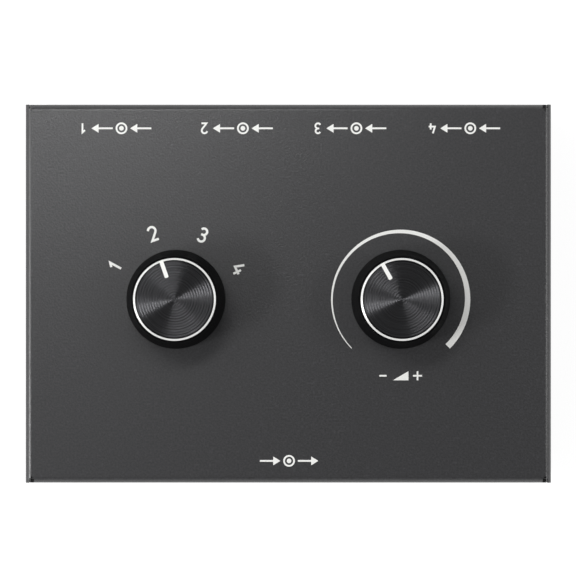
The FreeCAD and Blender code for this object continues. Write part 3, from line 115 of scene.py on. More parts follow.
class KnobLook(bpy.types.PropertyGroup):
    plastic_colour: StringProperty(
        name="Plastic colour", description="sRGB colour of the knobs", default="#050506"
    )
    face_colour: StringProperty(
        name="Face colour", description="sRGB colour of the caps' dyed faces", default="#49494b"
    )
    edge_colour: StringProperty(
        name="Edge colour", description="sRGB colour of the caps' bare edges", default="#f4f4f2"
    )
    line_colour: StringProperty(
        name="Line colour", description="sRGB colour of the pointer lines", default="#eeeeeb"
    )
    rest_selector: FloatProperty(
        name="Selector line",
        description="Selector's line at rest, left of straight back",
        default=math.radians(19.2),
        subtype="ANGLE",
    )
    rest_volume: FloatProperty(
        name="Volume line",
        description="Volume knob's line at rest, left of straight back",
        default=math.radians(29.0),
        subtype="ANGLE",
    )
    base_radius: FloatProperty(
        name="Base radius", description="Knob at the panel", default=13.05 * MM, unit="LENGTH"
    )
    top_radius: FloatProperty(
        name="Top radius", description="Knob at the rim", default=11.4 * MM, unit="LENGTH"
    )
    face_radius: FloatProperty(
        name="Face radius", description="Turned face inside the bright edge", default=10.3 * MM, unit="LENGTH"
    )
    edge_drop: FloatProperty(
        name="Edge drop", description="Height of the bright edge", default=0.35 * MM, unit="LENGTH"
    )
    ring_pitch: FloatProperty(
        name="Ring pitch", description="From one turned ring to the next", default=0.7 * MM, unit="LENGTH"
    )
    ring_height: FloatProperty(
        name="Ring height", description="Height of a turned ring", default=0.085 * MM, unit="LENGTH"
    )
    pointer_width: FloatProperty(
        name="Pointer width", description="Width of the white line", default=1.05 * MM, unit="LENGTH"
    )
    pointer_inner: FloatProperty(
        name="Pointer end", description="Radius of the line's inner end", default=6.0 * MM, unit="LENGTH"
    )


class PrintLook(bpy.types.PropertyGroup):
    ink_colour: StringProperty(name="Ink colour", description="sRGB colour of the ink", default="#ecece9")
    ink: FloatProperty(name="Ink", description="Thickness of the ink", default=0.03 * MM, unit="LENGTH")
    dial_stroke: FloatProperty(
        name="Dial stroke", description="Width of a line of a dial number", default=0.6 * MM, unit="LENGTH"
    )
    stroke: FloatProperty(
        name="Label stroke", description="Width of a line of a label", default=0.46 * MM, unit="LENGTH"
    )
    dial_radius: FloatProperty(
        name="Dial radius", description="Selector axis to a number", default=18.4 * MM, unit="LENGTH"
    )
    dial_step: FloatProperty(
        name="Dial step", description="From one number to the next", default=math.radians(42), subtype="ANGLE"
    )
    dial_start: FloatProperty(
        name="First number", description="Left of straight back", default=math.radians(61.5), subtype="ANGLE"
    )
    dial_height: FloatProperty(
        name="Number height", description="Height of a number on the dial", default=4.2 * MM, unit="LENGTH"
    )
    arc_radius: FloatProperty(
        name="Arc radius", description="Outer edge of the volume arc", default=18.4 * MM, unit="LENGTH"
    )
    arc_thin: FloatProperty(
        name="Arc start", description="Width of the arc at its quiet end", default=0.2 * MM, unit="LENGTH"
    )
    arc_thick: FloatProperty(
        name="Arc end", description="Width of the arc at its loud end", default=1.65 * MM, unit="LENGTH"
    )
    arc_sweep: FloatProperty(
        name="Arc sweep", description="Quiet end to loud end", default=math.radians(270), subtype="ANGLE"
    )
    label_height: FloatProperty(
        name="Label height", description="Height of a socket label", default=3.1 * MM, unit="LENGTH"
    )
    label_width: FloatProperty(
        name="Label width", description="Width of a back label", default=19.0 * MM, unit="LENGTH"
    )
    front_width: FloatProperty(
        name="Front label width", description="Width of the front label", default=15.4 * MM, unit="LENGTH"
    )


class StageLook(bpy.types.PropertyGroup):
    distance: FloatProperty(
        name="Camera distance", description="Camera to the top of the case", default=1.276, unit="LENGTH"
    )
    frame_width: FloatProperty(
        name="Frame width",
        description="Span of the picture at the top of the case",
        default=152.24 * MM,
        unit="LENGTH",
    )
    key_power: FloatProperty(
        name="Key light", description="Soft light, back left", default=0.41, unit="POWER"
    )
    left_power: FloatProperty(name="Left light", description="Far light, left", default=1.4, unit="POWER")
    back_power: FloatProperty(
        name="Back light", description="Near light, back left", default=0.18, unit="POWER"
    )
    right_power: FloatProperty(
        name="Right light", description="Far light, right", default=0.38, unit="POWER"
    )
    side_level: FloatProperty(
        name="Side level", description="Brightness of the dome at its sides", default=1.0, subtype="FACTOR"
    )
    top_level: FloatProperty(
        name="Top level", description="Brightness of the dome overhead", default=0.05, subtype="FACTOR"
    )
    floor_glow: FloatProperty(
        name="Floor glow", description="White of the floor in the picture", default=0.86, subtype="FACTOR"
    )


# Materials


def start_material(name):
    """An empty material and its node tree."""
    made = bpy.data.materials.new(name)
    made.use_nodes = True
    made.node_tree.nodes.clear()
    return made, made.node_tree


def coat_material(look):
    # Powder sprayed on steel and baked: a sandy grain that takes the shine off, a little smoother
    # where it stands high. A few pale specks are painted into its colour as glints of light. A real
    # grain is 0.2 mm across; it is drawn coarser so that it shows here.
    made, tree = start_material("powder_coated_steel")
    place = add(tree, "ShaderNodeTexCoord").outputs["Object"]
    grain = add(tree, "ShaderNodeTexNoise", {"Vector": place, "Scale": 1 / look.grain, "Detail": 2.0})
    spread = {"Value": grain.outputs[0], "From Min": 0.3, "From Max": 0.7}
    specks = add(tree, "ShaderNodeTexNoise", {"Vector": place, "Scale": 1 / look.speck, "Detail": 0.0})
    # Painted glints: where the speck noise peaks, the coat's colour is made paler in small spots
    painted_glint = add(
        tree,
        "ShaderNodeMapRange",
        {"Value": specks.outputs[0], "From Min": 0.7, "From Max": 0.78, "To Max": look.glint_tone},
    )
    sand = add(tree, "ShaderNodeMapRange", {**spread, "To Min": 0.5, "To Max": 1.5})
    tone = add(tree, "ShaderNodeMath", {0: sand.outputs[0], 1: painted_glint.outputs[0]}, operation="ADD")
    colour = add(
        tree,
        "ShaderNodeVectorMath",
        {0: to_linear(look.colour)[:3], "Scale": tone.outputs[0]},
        operation="SCALE",
    )
    rough = add(tree, "ShaderNodeMapRange", {**spread, "To Min": 0.38, "To Max": 0.36})
    bump = add(tree, "ShaderNodeBump", {"Height": grain.outputs[0], "Distance": look.grain_height})
    shader = add(
        tree,
        "ShaderNodeBsdfPrincipled",
        {
            "Base Color": colour.outputs[0],
            "Roughness": rough.outputs[0],
            "Specular IOR Level": look.gloss,
            "Normal": bump.outputs[0],
        },
    )
    add(tree, "ShaderNodeOutputMaterial", {"Surface": shader.outputs[0]})
    return made


def plain_material(
    name, colour, roughness, metallic=0.0, grain=0.4 * MM, height=0.004 * MM, tone=0.08, specular=0.5
):
    """A finish with a little unevenness in its tone, shine and surface, by noise of this grain."""
    made, tree = start_material(name)
    place = add(tree, "ShaderNodeTexCoord").outputs["Object"]
    grit = add(tree, "ShaderNodeTexNoise", {"Vector": place, "Scale": 1 / grain, "Detail": 3.0})
    spread = {"Value": grit.outputs[0], "From Min": 0.3, "From Max": 0.7}
    shade = add(tree, "ShaderNodeMapRange", {**spread, "To Min": 1 - tone, "To Max": 1 + tone})
    tinted = add(
        tree,
        "ShaderNodeVectorMath",
        {0: to_linear(colour)[:3], "Scale": shade.outputs[0]},
        operation="SCALE",
    )
    rough = add(tree, "ShaderNodeMapRange", {**spread, "To Min": roughness * 0.9, "To Max": roughness * 1.1})
    bump = add(tree, "ShaderNodeBump", {"Height": grit.outputs[0], "Distance": height})
    shader = add(
        tree,
        "ShaderNodeBsdfPrincipled",
        {
            "Base Color": tinted.outputs[0],
            "Roughness": rough.outputs[0],
            "Metallic": metallic,
            "Specular IOR Level": specular,
            "Normal": bump.outputs[0],
        },
    )
    add(tree, "ShaderNodeOutputMaterial", {"Surface": shader.outputs[0]})
    return made


def turned_material(name, centre, colour, roughness, anisotropy, pitch, shade_from=1.0):
    """Metal turned about a vertical axis. Its fine grooves lean in and out, so light streaks outwards.
    Its colour is painted paler and darker ring by ring, as light and shade of the grooves. Towards a
    given radius it is painted dark, as shade at the corner under the bright edge; that radius lies
    outside the metal unless it is given."""
    made, tree = start_material(name)
    place = add(tree, "ShaderNodeTexCoord").outputs["Object"]
    arm = add(tree, "ShaderNodeVectorMath", {0: place, 1: centre}, operation="SUBTRACT")
    flat = add(tree, "ShaderNodeVectorMath", {0: arm.outputs[0], 1: (1, 1, 0)}, operation="MULTIPLY")
    outwards = add(tree, "ShaderNodeVectorMath", {0: flat.outputs[0]}, operation="NORMALIZE")
    radius = add(tree, "ShaderNodeVectorMath", {0: flat.outputs[0]}, operation="LENGTH")
    groove_shading = add(
        tree,
        "ShaderNodeTexNoise",
        {"W": radius.outputs["Value"], "Scale": 1 / pitch, "Detail": 2.0},
        noise_dimensions="1D",
    )
    spread = {"Value": groove_shading.outputs[0], "From Min": 0.3, "From Max": 0.7}
    # Painted shade of the turned rings: the colour goes paler and darker along the radius
    shade = add(tree, "ShaderNodeMapRange", {**spread, "To Min": 0.75, "To Max": 1.25})
    # Painted shade: towards the given radius the colour darkens to under a third, as shade at the corner
    # under the bright edge
    fade = 0.2 * MM
    edge = {"From Min": shade_from - fade, "From Max": shade_from, "To Min": 1.0, "To Max": 0.3}
    rim_shade = add(tree, "ShaderNodeMapRange", {"Value": radius.outputs["Value"], **edge})
    tone = add(tree, "ShaderNodeMath", {0: shade.outputs[0], 1: rim_shade.outputs[0]}, operation="MULTIPLY")
    tinted = add(
        tree,
        "ShaderNodeVectorMath",
        {0: to_linear(colour)[:3], "Scale": tone.outputs[0]},
        operation="SCALE",
    )
    rough = add(
        tree, "ShaderNodeMapRange", {**spread, "To Min": roughness * 0.85, "To Max": roughness * 1.15}
    )
    shader = add(
        tree,
        "ShaderNodeBsdfPrincipled",
        {
            "Base Color": tinted.outputs[0],
            "Metallic": 1.0,
            "Roughness": rough.outputs[0],
            "Anisotropic": anisotropy,
            "Tangent": outwards.outputs[0],
        },
    )
    add(tree, "ShaderNodeOutputMaterial", {"Surface": shader.outputs[0]})
    return made


def dress(material, *nodes):
    """Gives CAD nodes their finish."""
    for name in nodes:
        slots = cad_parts[name].data.materials
        slots.clear()
        slots.append(material)


# Meshes


def new_object(name, data):
    """A new object in the scene, at the origin."""
    made = bpy.data.objects.new(name, data)
    bpy.context.scene.collection.objects.link(made)
    return made


def finish_piece(piece, body, slot, *materials):
    """Gives a piece its materials and the body that it rides on. The slot is not used."""
    for material in materials:
        piece.data.materials.append(material)
    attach(piece, body)
    return piece


def new_tree(name, **inputs):
    """A Geometry Nodes tree with inputs, each given as its kind of socket, and their outputs."""
    tree = bpy.data.node_groups.new(name, "GeometryNodeTree")
    for label, kind in inputs.items():
        tree.interface.new_socket(label, in_out="INPUT", socket_type=kind)
    tree.interface.new_socket("Geometry", in_out="OUTPUT", socket_type="NodeSocketGeometry")
    return tree, add(tree, "NodeGroupInput").outputs


def end_tree(tree, geometry, material):
    """The last steps of a tree: instances made real and the material set."""
    real = add(tree, "GeometryNodeRealizeInstances", {"Geometry": geometry})
    painted = add(tree, "GeometryNodeSetMaterial", {"Geometry": real.outputs[0], "Material": material})
    add(tree, "NodeGroupOutput", {0: painted.outputs[0]})


def raised(tree, faces, height):
    """A closed layer of this thickness on flat faces."""
    top = add(
        tree, "GeometryNodeExtrudeMesh", {"Mesh": faces, "Offset Scale": height, "Individual": False}
    )
    under = add(tree, "GeometryNodeFlipFaces", {"Mesh": faces})
    both = add(tree, "GeometryNodeJoinGeometry")
    for part in (top, under):
        tree.links.new(part.outputs[0], both.inputs[0])
    return add(
        tree, "GeometryNodeMergeByDistance", {"Geometry": both.outputs[0], "Distance": 0.001 * MM}
    ).outputs[0]


def run_tree(name, tree, base=None, **values):
    """What the tree makes of a mesh with these inputs, as an object with a plain mesh."""
    made = new_object(name, base or bpy.data.meshes.new(name))
    modifier = made.modifiers.new("shape", "NODES")
    modifier.node_group = tree
    for item in tree.interface.items_tree:
        if item.in_out == "INPUT" and item.socket_type != "NodeSocketGeometry":
            modifier[item.identifier] = values[item.name]
    bpy.context.view_layer.update()
    mesh = bpy.data.meshes.new_from_object(made.evaluated_get(bpy.context.evaluated_depsgraph_get()))
    made.modifiers.clear()
    made.data = mesh
    mesh.name = name
    return made


def rounding(centre, radius, start, stop, steps=8):
    """Points of an arc in a profile, from one angle to another in degrees."""
    angles = [math.radians(start + (stop - start) * i / steps) for i in range(steps + 1)]
    return [(centre[0] + radius * math.cos(a), centre[1] + radius * math.sin(a)) for a in angles]


def mesh_from(work, name, place=Matrix()):
    """The worked mesh, closed and facing outwards, put in its place."""
    bmesh.ops.recalc_face_normals(work, faces=work.faces)
    work.transform(place)
    mesh = bpy.data.meshes.new(name)
    work.to_mesh(mesh)
    work.free()
    return mesh


def revolved(name, profile, place, steps=192, sharp=math.radians(28)):
    """A closed turned solid from a (radius, height) outline about a vertical axis."""
    work = bmesh.new()
    rings = []
    for radius, height in profile:
        count = steps if radius > 0 else 1
        turns = [math.tau * i / steps for i in range(count)]
        rings.append([work.verts.new((radius * math.cos(t), radius * math.sin(t), height)) for t in turns])
    for low, high in zip(rings, rings[1:] + rings[:1]):
        for i in range(steps):
            j = (i + 1) % steps
            corners = (low[i % len(low)], low[j % len(low)], high[j % len(high)], high[i % len(high)])
            corners = list(dict.fromkeys(corners))
            if len(corners) > 2:
                work.faces.new(corners)
    mesh = mesh_from(work, name, place)
    mesh.shade_smooth()
    mesh.set_sharp_from_angle(angle=sharp)
    return new_object(name, mesh)


def strip(work, place, stations, closed=False):
    """Adds a solid strip. A station is its left and right edge, its underside and its top."""
    rows = []
    for left, right, low, high in stations:
        corners = ((*left, low), (*right, low), (*right, high), (*left, high))
        rows.append([work.verts.new(place @ Vector(corner)) for corner in corners])
    pairs = list(zip(rows, rows[1:]))
    if closed:
        pairs.append((rows[-1], rows[0]))
    else:
        work.faces.new(rows[0])
        work.faces.new(rows[-1])
    for here, there in pairs:
        for i in range(4):
            j = (i + 1) % 4
            work.faces.new((here[i], here[j], there[j], there[i]))


def draw_line(work, place, points, width, ink, closed=False):
    """Adds a printed line of this width through the points, mitred at its corners."""
    spots = [Vector(point) for point in points]
    ways = [(after - before).normalized() for before, after in zip(spots, spots[1:] + spots[:1])]
    stations = []
    for i, spot in enumerate(spots):
        arrive = ways[i - 1] if i or closed else ways[0]
        leave = ways[i] if i + 1 < len(spots) or closed else arrive
        along = (arrive + leave).normalized()
        side = Vector((-along.y, along.x)) * (width / 2 / along.dot(arrive))
        stations.append((spot + side, spot - side, 0, ink))
    strip(work, place, stations, closed)


def printed(name, work):
    """Makes the printed shapes a piece on the case."""
    piece = new_object(name, mesh_from(work, name))
    finish_piece(piece, "case", "print_ink", ink_material())


# The case, its feet and its insides


class DressFrame(bpy.types.Operator):
    """Give the case, its fasteners, sockets, boards and controls their finishes"""

    bl_idname = "selector_box.dress_frame"
    bl_label = "Finish the case and its insides"

    def execute(self, context):
        dress(coat_material(context.scene.selector_case), "top_cover", "bottom_chassis")
        # Moulded rubber, matt and faintly dusty
        rubber = plain_material("moulded_rubber", "#1b1b1b", 0.8, grain=0.25 * MM, height=0.01 * MM)
        dress(rubber, "foot_front_left", "foot_front_right", "foot_back_left", "foot_back_right")
        # Zinc plate over stamped and headed steel: bluish, a little cloudy
        zinc = plain_material("zinc_plated_steel", "#b4b8be", 0.34, metallic=1.0, grain=0.8 * MM, tone=0.12)
        dress(zinc, "case_screws", "board_screws", "selector_washer", "selector_nut", "volume_washer")
        dress(zinc, "volume_nut", "selector_stop_ring", "selector_bushing", "volume_bushing")
        dress(zinc, "volume_back_plate", "selector_detent_balls", "selector_detent_springs")
        # Drawn brass rod, cut and nickel washed, so pale with a warm tinge
        brass = plain_material("nickel_washed_brass", "#c4b48a", 0.28, metallic=1.0, grain=0.3 * MM)
        dress(brass, "selector_shaft", "volume_shaft", "board_standoffs")
        # Glass-filled nylon out of a spark-eroded mould: dark with a fine bite
        nylon = plain_material("moulded_nylon", "#202022", 0.5, grain=0.2 * MM, height=0.006 * MM)
        dress(nylon, "selector_housing", "selector_rotor", "selector_wafer")
        # Stamped brass strip with hot tin on it
        tin = plain_material("tinned_brass", "#cbc6ba", 0.3, metallic=1.0, grain=0.25 * MM, tone=0.1)
        dress(tin, "selector_contacts", "selector_common_rings", "selector_wipers", "volume_terminals")
        dress(tin, "jack_contact_strips", "jack_pins")
        # Pressed paper and resin: brown and mottled
        phenolic = plain_material("pressed_phenolic", "#6d4626", 0.6, grain=0.5 * MM, tone=0.2)
        dress(phenolic, "volume_upper_gang", "volume_lower_gang", "volume_wipers")
        # Screened carbon ink, dead matt
        carbon = plain_material("carbon_ink", "#101010", 0.7, grain=0.1 * MM)
        dress(carbon, "volume_upper_track", "volume_lower_track")
        # Solder resist over glass cloth: glossy green with the weave just showing
        board = plain_material("glass_fibre_board", "#14522e", 0.3, grain=0.6 * MM, height=0.008 * MM)
        dress(board, "control_board", "back_jack_board", "front_jack_board")
        # Moulded black thermoplastic with a satin face
        socket = plain_material("moulded_thermoplastic", "#121214", 0.45, grain=0.15 * MM)
        dress(socket, *SOCKETS)
        # Extruded grey vinyl
        vinyl = plain_material("extruded_vinyl", "#8b8d90", 0.5, grain=0.5 * MM)
        dress(vinyl, "back_cable", "front_cable")
        # Moulded black polyester
        header = plain_material("moulded_polyester", "#18181a", 0.5, grain=0.2 * MM)
        dress(header, "back_cable_headers", "front_cable_headers", "back_cable_plugs", "front_cable_plugs")
        return {"FINISHED"}


class BuildSleeves(bpy.types.Operator):
    """Build the plated sleeves in the mouths of the sockets"""

    bl_idname = "selector_box.build_sleeves"
    bl_label = "Socket sleeves"

    def execute(self, context):
        # Turned brass with bright nickel on it: a clean mirror with a warm tinge
        nickel = plain_material(
            "nickel_plate", "#cfccc4", 0.16, metallic=1.0, grain=1.0 * MM, height=0.001 * MM
        )
        rim, barrel, bore, depth = 3.3 * MM, 2.6 * MM, 1.8 * MM, 4.0 * MM
        rim_thick, edge = 0.4 * MM, 0.12 * MM
        profile = [
            (bore, -depth),
            *rounding((bore + 2 * edge, -2 * edge), 2 * edge, 180, 90),
            *rounding((rim - edge, -edge), edge, 90, 0),
            (rim, -rim_thick),
            (barrel, -rim_thick),
            (barrel, -depth),
        ]
        level = middle("jack_ferrules").z
        for name in SOCKETS:
            low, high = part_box(name)
            end, mouth = (1, high.y) if high.y > 0 else (-1, low.y)
            spot = Vector(((low.x + high.x) / 2, mouth, level))
            place = Matrix.Translation(spot) @ Matrix.Rotation(math.radians(-90 * end), 4, "X")
            sleeve = revolved(name.replace("jack_", "sleeve_"), profile, place, steps=64)
            finish_piece(sleeve, "case", "jack_nickel", nickel)
        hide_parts("jack_ferrules")
        return {"FINISHED"}


# The knobs


class BuildKnobs(bpy.types.Operator):
    """Build the two tapered knobs"""

    bl_idname = "selector_box.build_knobs"
    bl_label = "Knobs"

    def execute(self, context):
        look = context.scene.selector_knobs
        # Black plastic from a polished mould: deep black, with only the finest haze
        plastic = plain_material(
            "moulded_black_plastic", look.plastic_colour, 0.6, height=0.002 * MM, specular=0.05
        )
        wall, foot_round, rim_round, draft = 2.0 * MM, 0.4 * MM, 0.3 * MM, 6
        deck_thick, hub, bore = 2.6 * MM, 5.2 * MM, 3.02 * MM
        seat_gap, shaft_gap, bushing_gap = 0.03 * MM, 0.2 * MM, 0.8 * MM
        for name in ("selector", "volume"):
            low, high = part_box(f"{name}_knob")
            cap_low, cap_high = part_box(f"{name}_cap")
            centre = (cap_low + cap_high) / 2
            seat_radius = (cap_high.x - cap_low.x) / 2 + seat_gap
            deck = cap_low.z - deck_thick
            shaft_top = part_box(f"{name}_shaft")[1].z + shaft_gap
            hub_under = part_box(f"{name}_bushing")[1].z + bushing_gap
            profile = [
                (look.base_radius - wall, low.z),
                *rounding((look.base_radius - foot_round, low.z + foot_round), foot_round, -90, draft),
                *rounding((look.top_radius - rim_round, high.z - rim_round), rim_round, draft, 90),
                (seat_radius, high.z),
                (seat_radius, cap_low.z),
                (0, cap_low.z),
                (0, shaft_top),
                (bore, shaft_top),
                (bore, hub_under),
                (hub, hub_under),
                (hub, deck),
                (look.top_radius - wall, deck),
            ]
            place = Matrix.Translation((centre.x, centre.y, 0))
            knob = revolved(f"{name}_knob_body", profile, place)
            finish_piece(knob, name, "knob_plastic", plastic)
            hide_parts(f"{name}_knob")
        return {"FINISHED"}


class BuildCaps(bpy.types.Operator):
    """Build the turned aluminium caps of the knobs"""

    bl_idname = "selector_box.build_caps"
    bl_label = "Knob caps"

    def execute(self, context):
        look = context.scene.selector_knobs
        # Painted shade: the dyed face is made dark from just inside its bright edge outwards, as that
        # corner's shade
        shade_from = look.face_radius - 0.25 * MM
        steps = 160
        for name in ("selector", "volume"):
            low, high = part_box(f"{name}_cap")
            centre = (low + high) / 2
            radius = (high.x - low.x) / 2
            axis = (centre.x, centre.y, 0)
            # Aluminium faced on a lathe and dyed black: fine rings that throw light outwards, with their
            # light and shade also painted ring by ring into the colour. Real rings are 0.5 mm apart; they are
            # drawn coarser so that they show here.
            face = turned_material(
                f"black_anodised_{name}",
                axis,
                look.face_colour,
                roughness=0.34,
                anisotropy=1.0,
                pitch=0.35 * MM,
                shade_from=shade_from,
            )
            # The same metal cut again with a diamond after the dye: a bright sloping edge
            bright = turned_material(
                f"diamond_cut_{name}",
                axis,
                look.edge_colour,
                roughness=0.28,
                anisotropy=0.6,
                pitch=0.08 * MM,
            )
            profile = [(0, low.z), (radius, low.z), (radius, high.z - look.edge_drop)]
            for i in range(steps, -1, -1):
                out = look.face_radius * i / steps
                fade = min(1.0, (look.face_radius - out) / look.ring_pitch)
                wave = (math.cos(math.tau * out / look.ring_pitch) - 1) / 2
                profile.append((out, high.z + fade * look.ring_height * wave))
            cap = revolved(f"{name}_cap_disc", profile, Matrix.Translation(axis))
            finish_piece(cap, name, "cap_aluminium", face, bright)
            for polygon in cap.data.polygons:
                out = (polygon.center.xy - centre.xy).length
                polygon.material_index = int(out > look.face_radius and polygon.normal.z > 0.1)
            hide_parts(f"{name}_cap")
        return {"FINISHED"}


class BuildPointers(bpy.types.Operator):
    """Build the white lines on the knob caps"""

    bl_idname = "selector_box.build_pointers"
    bl_label = "Pointer lines"

    def execute(self, context):
        look = context.scene.selector_knobs
        # White enamel wiped into the milled line: smooth, with a slight shine
        enamel = plain_material(
            "white_enamel", look.line_colour, 0.4, grain=0.3 * MM, height=0.002 * MM, tone=0.02
        )
        half, inner = look.pointer_width / 2, look.pointer_inner
        proud, deep, corner = 0.02 * MM, 0.15 * MM, 0.2 * MM
        for name, turn in (("selector", look.rest_selector), ("volume", look.rest_volume)):
            low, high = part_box(f"{name}_cap")
            centre = (low + high) / 2
            radius = (high.x - low.x) / 2
            place = Matrix.Translation((centre.x, centre.y, high.z)) @ Matrix.Rotation(turn, 4, "Z")
            stations = [
                ((-wide, out), (wide, out), level - deep, level + proud)
                for out, wide, level in (
                    (inner, half - corner, 0),
                    (inner + corner, half, 0),
                    (look.face_radius, half, 0),
                    (radius, half, -look.edge_drop),
                )
            ]
            work = bmesh.new()
            strip(work, place, stations)
            line = new_object(f"{name}_pointer", mesh_from(work, f"{name}_pointer"))
            finish_piece(line, name, "print_ink", enamel)
        return {"FINISHED"}


# The print


def ink_material():
    # Screen printed two-part ink: an even, matt white a few hundredths of a millimetre thick
    colour = bpy.context.scene.selector_print.ink_colour
    return bpy.data.materials.get("screen_print_ink") or plain_material(
        "screen_print_ink", colour, 0.55, grain=0.25 * MM, height=0.002 * MM, tone=0.03
    )


# The middle lines of the numbers: half a height up and down from the middle
NUMBERS = {
    1: [[(-0.19, 0.19), (0.06, 0.41), (0.06, -0.5)]],
    2: [[*rounding((0, 0.22), 0.28, 165, -38), (-0.2, -0.5), (0.3, -0.5)]],
    3: [
        [*rounding((0, 0.26), 0.24, 155, -90, 12), (-0.12, 0.02)],
        rounding((0, -0.24), 0.26, 90, -155, 12),
    ],
    4: [[(-0.1, 0.5), (-0.3, -0.17), (0.32, -0.17)], [(0.12, 0.12), (0.12, -0.5)]],
}


def draw_number(work, place, number, tall, width, ink):
    """Adds a number of this height, with lines of this width."""
    scale = tall - width
    for count, line in enumerate(NUMBERS[number]):
        points = [(x * scale, y * scale) for x, y in line]
        draw_line(work, place, points, width, ink * CROSSING**count)


class PrintDial(bpy.types.Operator):
    """Print the numbers round the selector knob"""

    bl_idname = "selector_box.print_dial"
    bl_label = "Dial numbers"

    def execute(self, context):
        look = context.scene.selector_print
        centre = middle("selector_cap")
        axis = Matrix.Translation((centre.x, centre.y, PANEL))
        work = bmesh.new()
        for i, number in enumerate(NUMBERS):
            turn = Matrix.Rotation(look.dial_start - i * look.dial_step, 4, "Z")
            place = axis @ turn @ Matrix.Translation((0, look.dial_radius, 0))
            draw_number(work, place, number, look.dial_height, look.dial_stroke, look.ink)
        printed("dial_numbers", work)
        return {"FINISHED"}


def arc_tree():
    """An arc with a constant outer edge that widens inwards along its length."""
    tree, given = new_tree(
        "widening arc",
        Radius="NodeSocketFloat",
        Thin="NodeSocketFloat",
        Thick="NodeSocketFloat",
        Sweep="NodeSocketFloat",
        Ink="NodeSocketFloat",
        Centre="NodeSocketVector",
        Material="NodeSocketMaterial",
    )
    grid = add(
        tree,
        "GeometryNodeMeshGrid",
        {"Size X": 1.0, "Size Y": 1.0, "Vertices X": 181, "Vertices Y": 2},
    )
    spot = add(tree, "ShaderNodeSeparateXYZ", {0: add(tree, "GeometryNodeInputPosition").outputs[0]})
    width = add(
        tree,
        "ShaderNodeMapRange",
        {
            "Value": spot.outputs[0],
            "From Min": -0.5,
            "From Max": 0.5,
            "To Min": given["Thin"],
            "To Max": given["Thick"],
        },
    )
    inwards = add(tree, "ShaderNodeMath", {0: 0.5, 1: spot.outputs[1]}, operation="SUBTRACT")
    depth = add(
        tree, "ShaderNodeMath", {0: inwards.outputs[0], 1: width.outputs[0]}, operation="MULTIPLY"
    )
    radius = add(tree, "ShaderNodeMath", {0: given["Radius"], 1: depth.outputs[0]}, operation="SUBTRACT")
    turn = add(tree, "ShaderNodeMath", {0: spot.outputs[0], 1: given["Sweep"]}, operation="MULTIPLY")
    sine = add(tree, "ShaderNodeMath", {0: turn.outputs[0]}, operation="SINE")
    cosine = add(tree, "ShaderNodeMath", {0: turn.outputs[0]}, operation="COSINE")
    across = add(tree, "ShaderNodeMath", {0: radius.outputs[0], 1: sine.outputs[0]}, operation="MULTIPLY")
    along = add(tree, "ShaderNodeMath", {0: radius.outputs[0], 1: cosine.outputs[0]}, operation="MULTIPLY")
    flat = add(tree, "ShaderNodeCombineXYZ", {0: across.outputs[0], 1: along.outputs[0]})
    bent = add(tree, "GeometryNodeSetPosition", {"Geometry": grid.outputs[0], "Position": flat.outputs[0]})
    home = add(
        tree,
        "GeometryNodeTransform",
        {"Geometry": raised(tree, bent.outputs[0], given["Ink"]), "Translation": given["Centre"]},
    )
    end_tree(tree, home.outputs[0], given["Material"])
    return tree


class PrintArc(bpy.types.Operator):
    """Print the widening arc round the volume knob"""

    bl_idname = "selector_box.print_arc"
    bl_label = "Volume arc"

    def execute(self, context):
        look = context.scene.selector_print
        centre = middle("volume_cap")
        arc = run_tree(
            "volume_arc",
            arc_tree(),
            Radius=look.arc_radius,
            Thin=look.arc_thin,
            Thick=look.arc_thick,
            Sweep=look.arc_sweep,
            Ink=look.ink,
            Centre=(centre.x, centre.y, PANEL),
            Material=ink_material(),
        )
        finish_piece(arc, "case", "print_ink")
        return {"FINISHED"}


def draw_patch(work, outline, ink):
    """Adds a filled shape that is the same above and below the middle, from its half heights."""
    strip(work, Matrix(), [((x, half), (x, -half), 0, ink) for x, half in outline])


def draw_arrow(work, start, stop, head, width, ink):
    """Adds an arrow along the middle of a label, from start to stop."""
    neck = stop - math.copysign(head * 0.8, stop - start)
    draw_line(work, Matrix(), [(start, 0), (neck, 0)], width, ink)
    draw_patch(work, ((neck, head / 2), (stop, TIP)), ink)


def draw_socket(work, size, width, ink):
    """Adds the sign of a socket in the middle of a label: a ring with a dot in it."""
    sides = 48
    ring = rounding((0, 0), (size - width) / 2, 0, 360 - 360 / sides, sides - 1)
    draw_line(work, Matrix(), ring, width, ink, closed=True)
    draw_patch(work, rounding((0, 0), 0.2 * size, 5, 175, 10), ink)


def sign_of_socket(wide, size, width, ink):
    """A label's shapes about its middle: an arrow into a socket's sign and an arrow out of it."""
    work = bmesh.new()
    gap = size * 0.25
    reach = (wide - size) / 2 - gap
    head = size * 0.75
    draw_socket(work, size, width, ink)
    draw_arrow(work, -wide / 2, -wide / 2 + reach, head, width, ink)
    draw_arrow(work, wide / 2 - reach, wide / 2, head, width, ink)
    return work


def copies_tree():
    """A shape set down at each place, turned about the vertical."""
    tree, given = new_tree(
        "shape at each place",
        Places="NodeSocketGeometry",
        Shape="NodeSocketObject",
        Turn="NodeSocketFloat",
        Material="NodeSocketMaterial",
    )
    shape = add(tree, "GeometryNodeObjectInfo", {"Object": given["Shape"]})
    about = add(tree, "ShaderNodeCombineXYZ", {2: given["Turn"]})
    copies = add(
        tree,
        "GeometryNodeInstanceOnPoints",
        {"Points": given["Places"], "Instance": shape.outputs["Geometry"], "Rotation": about.outputs[0]},
    )
    end_tree(tree, copies.outputs[0], given["Material"])
    return tree


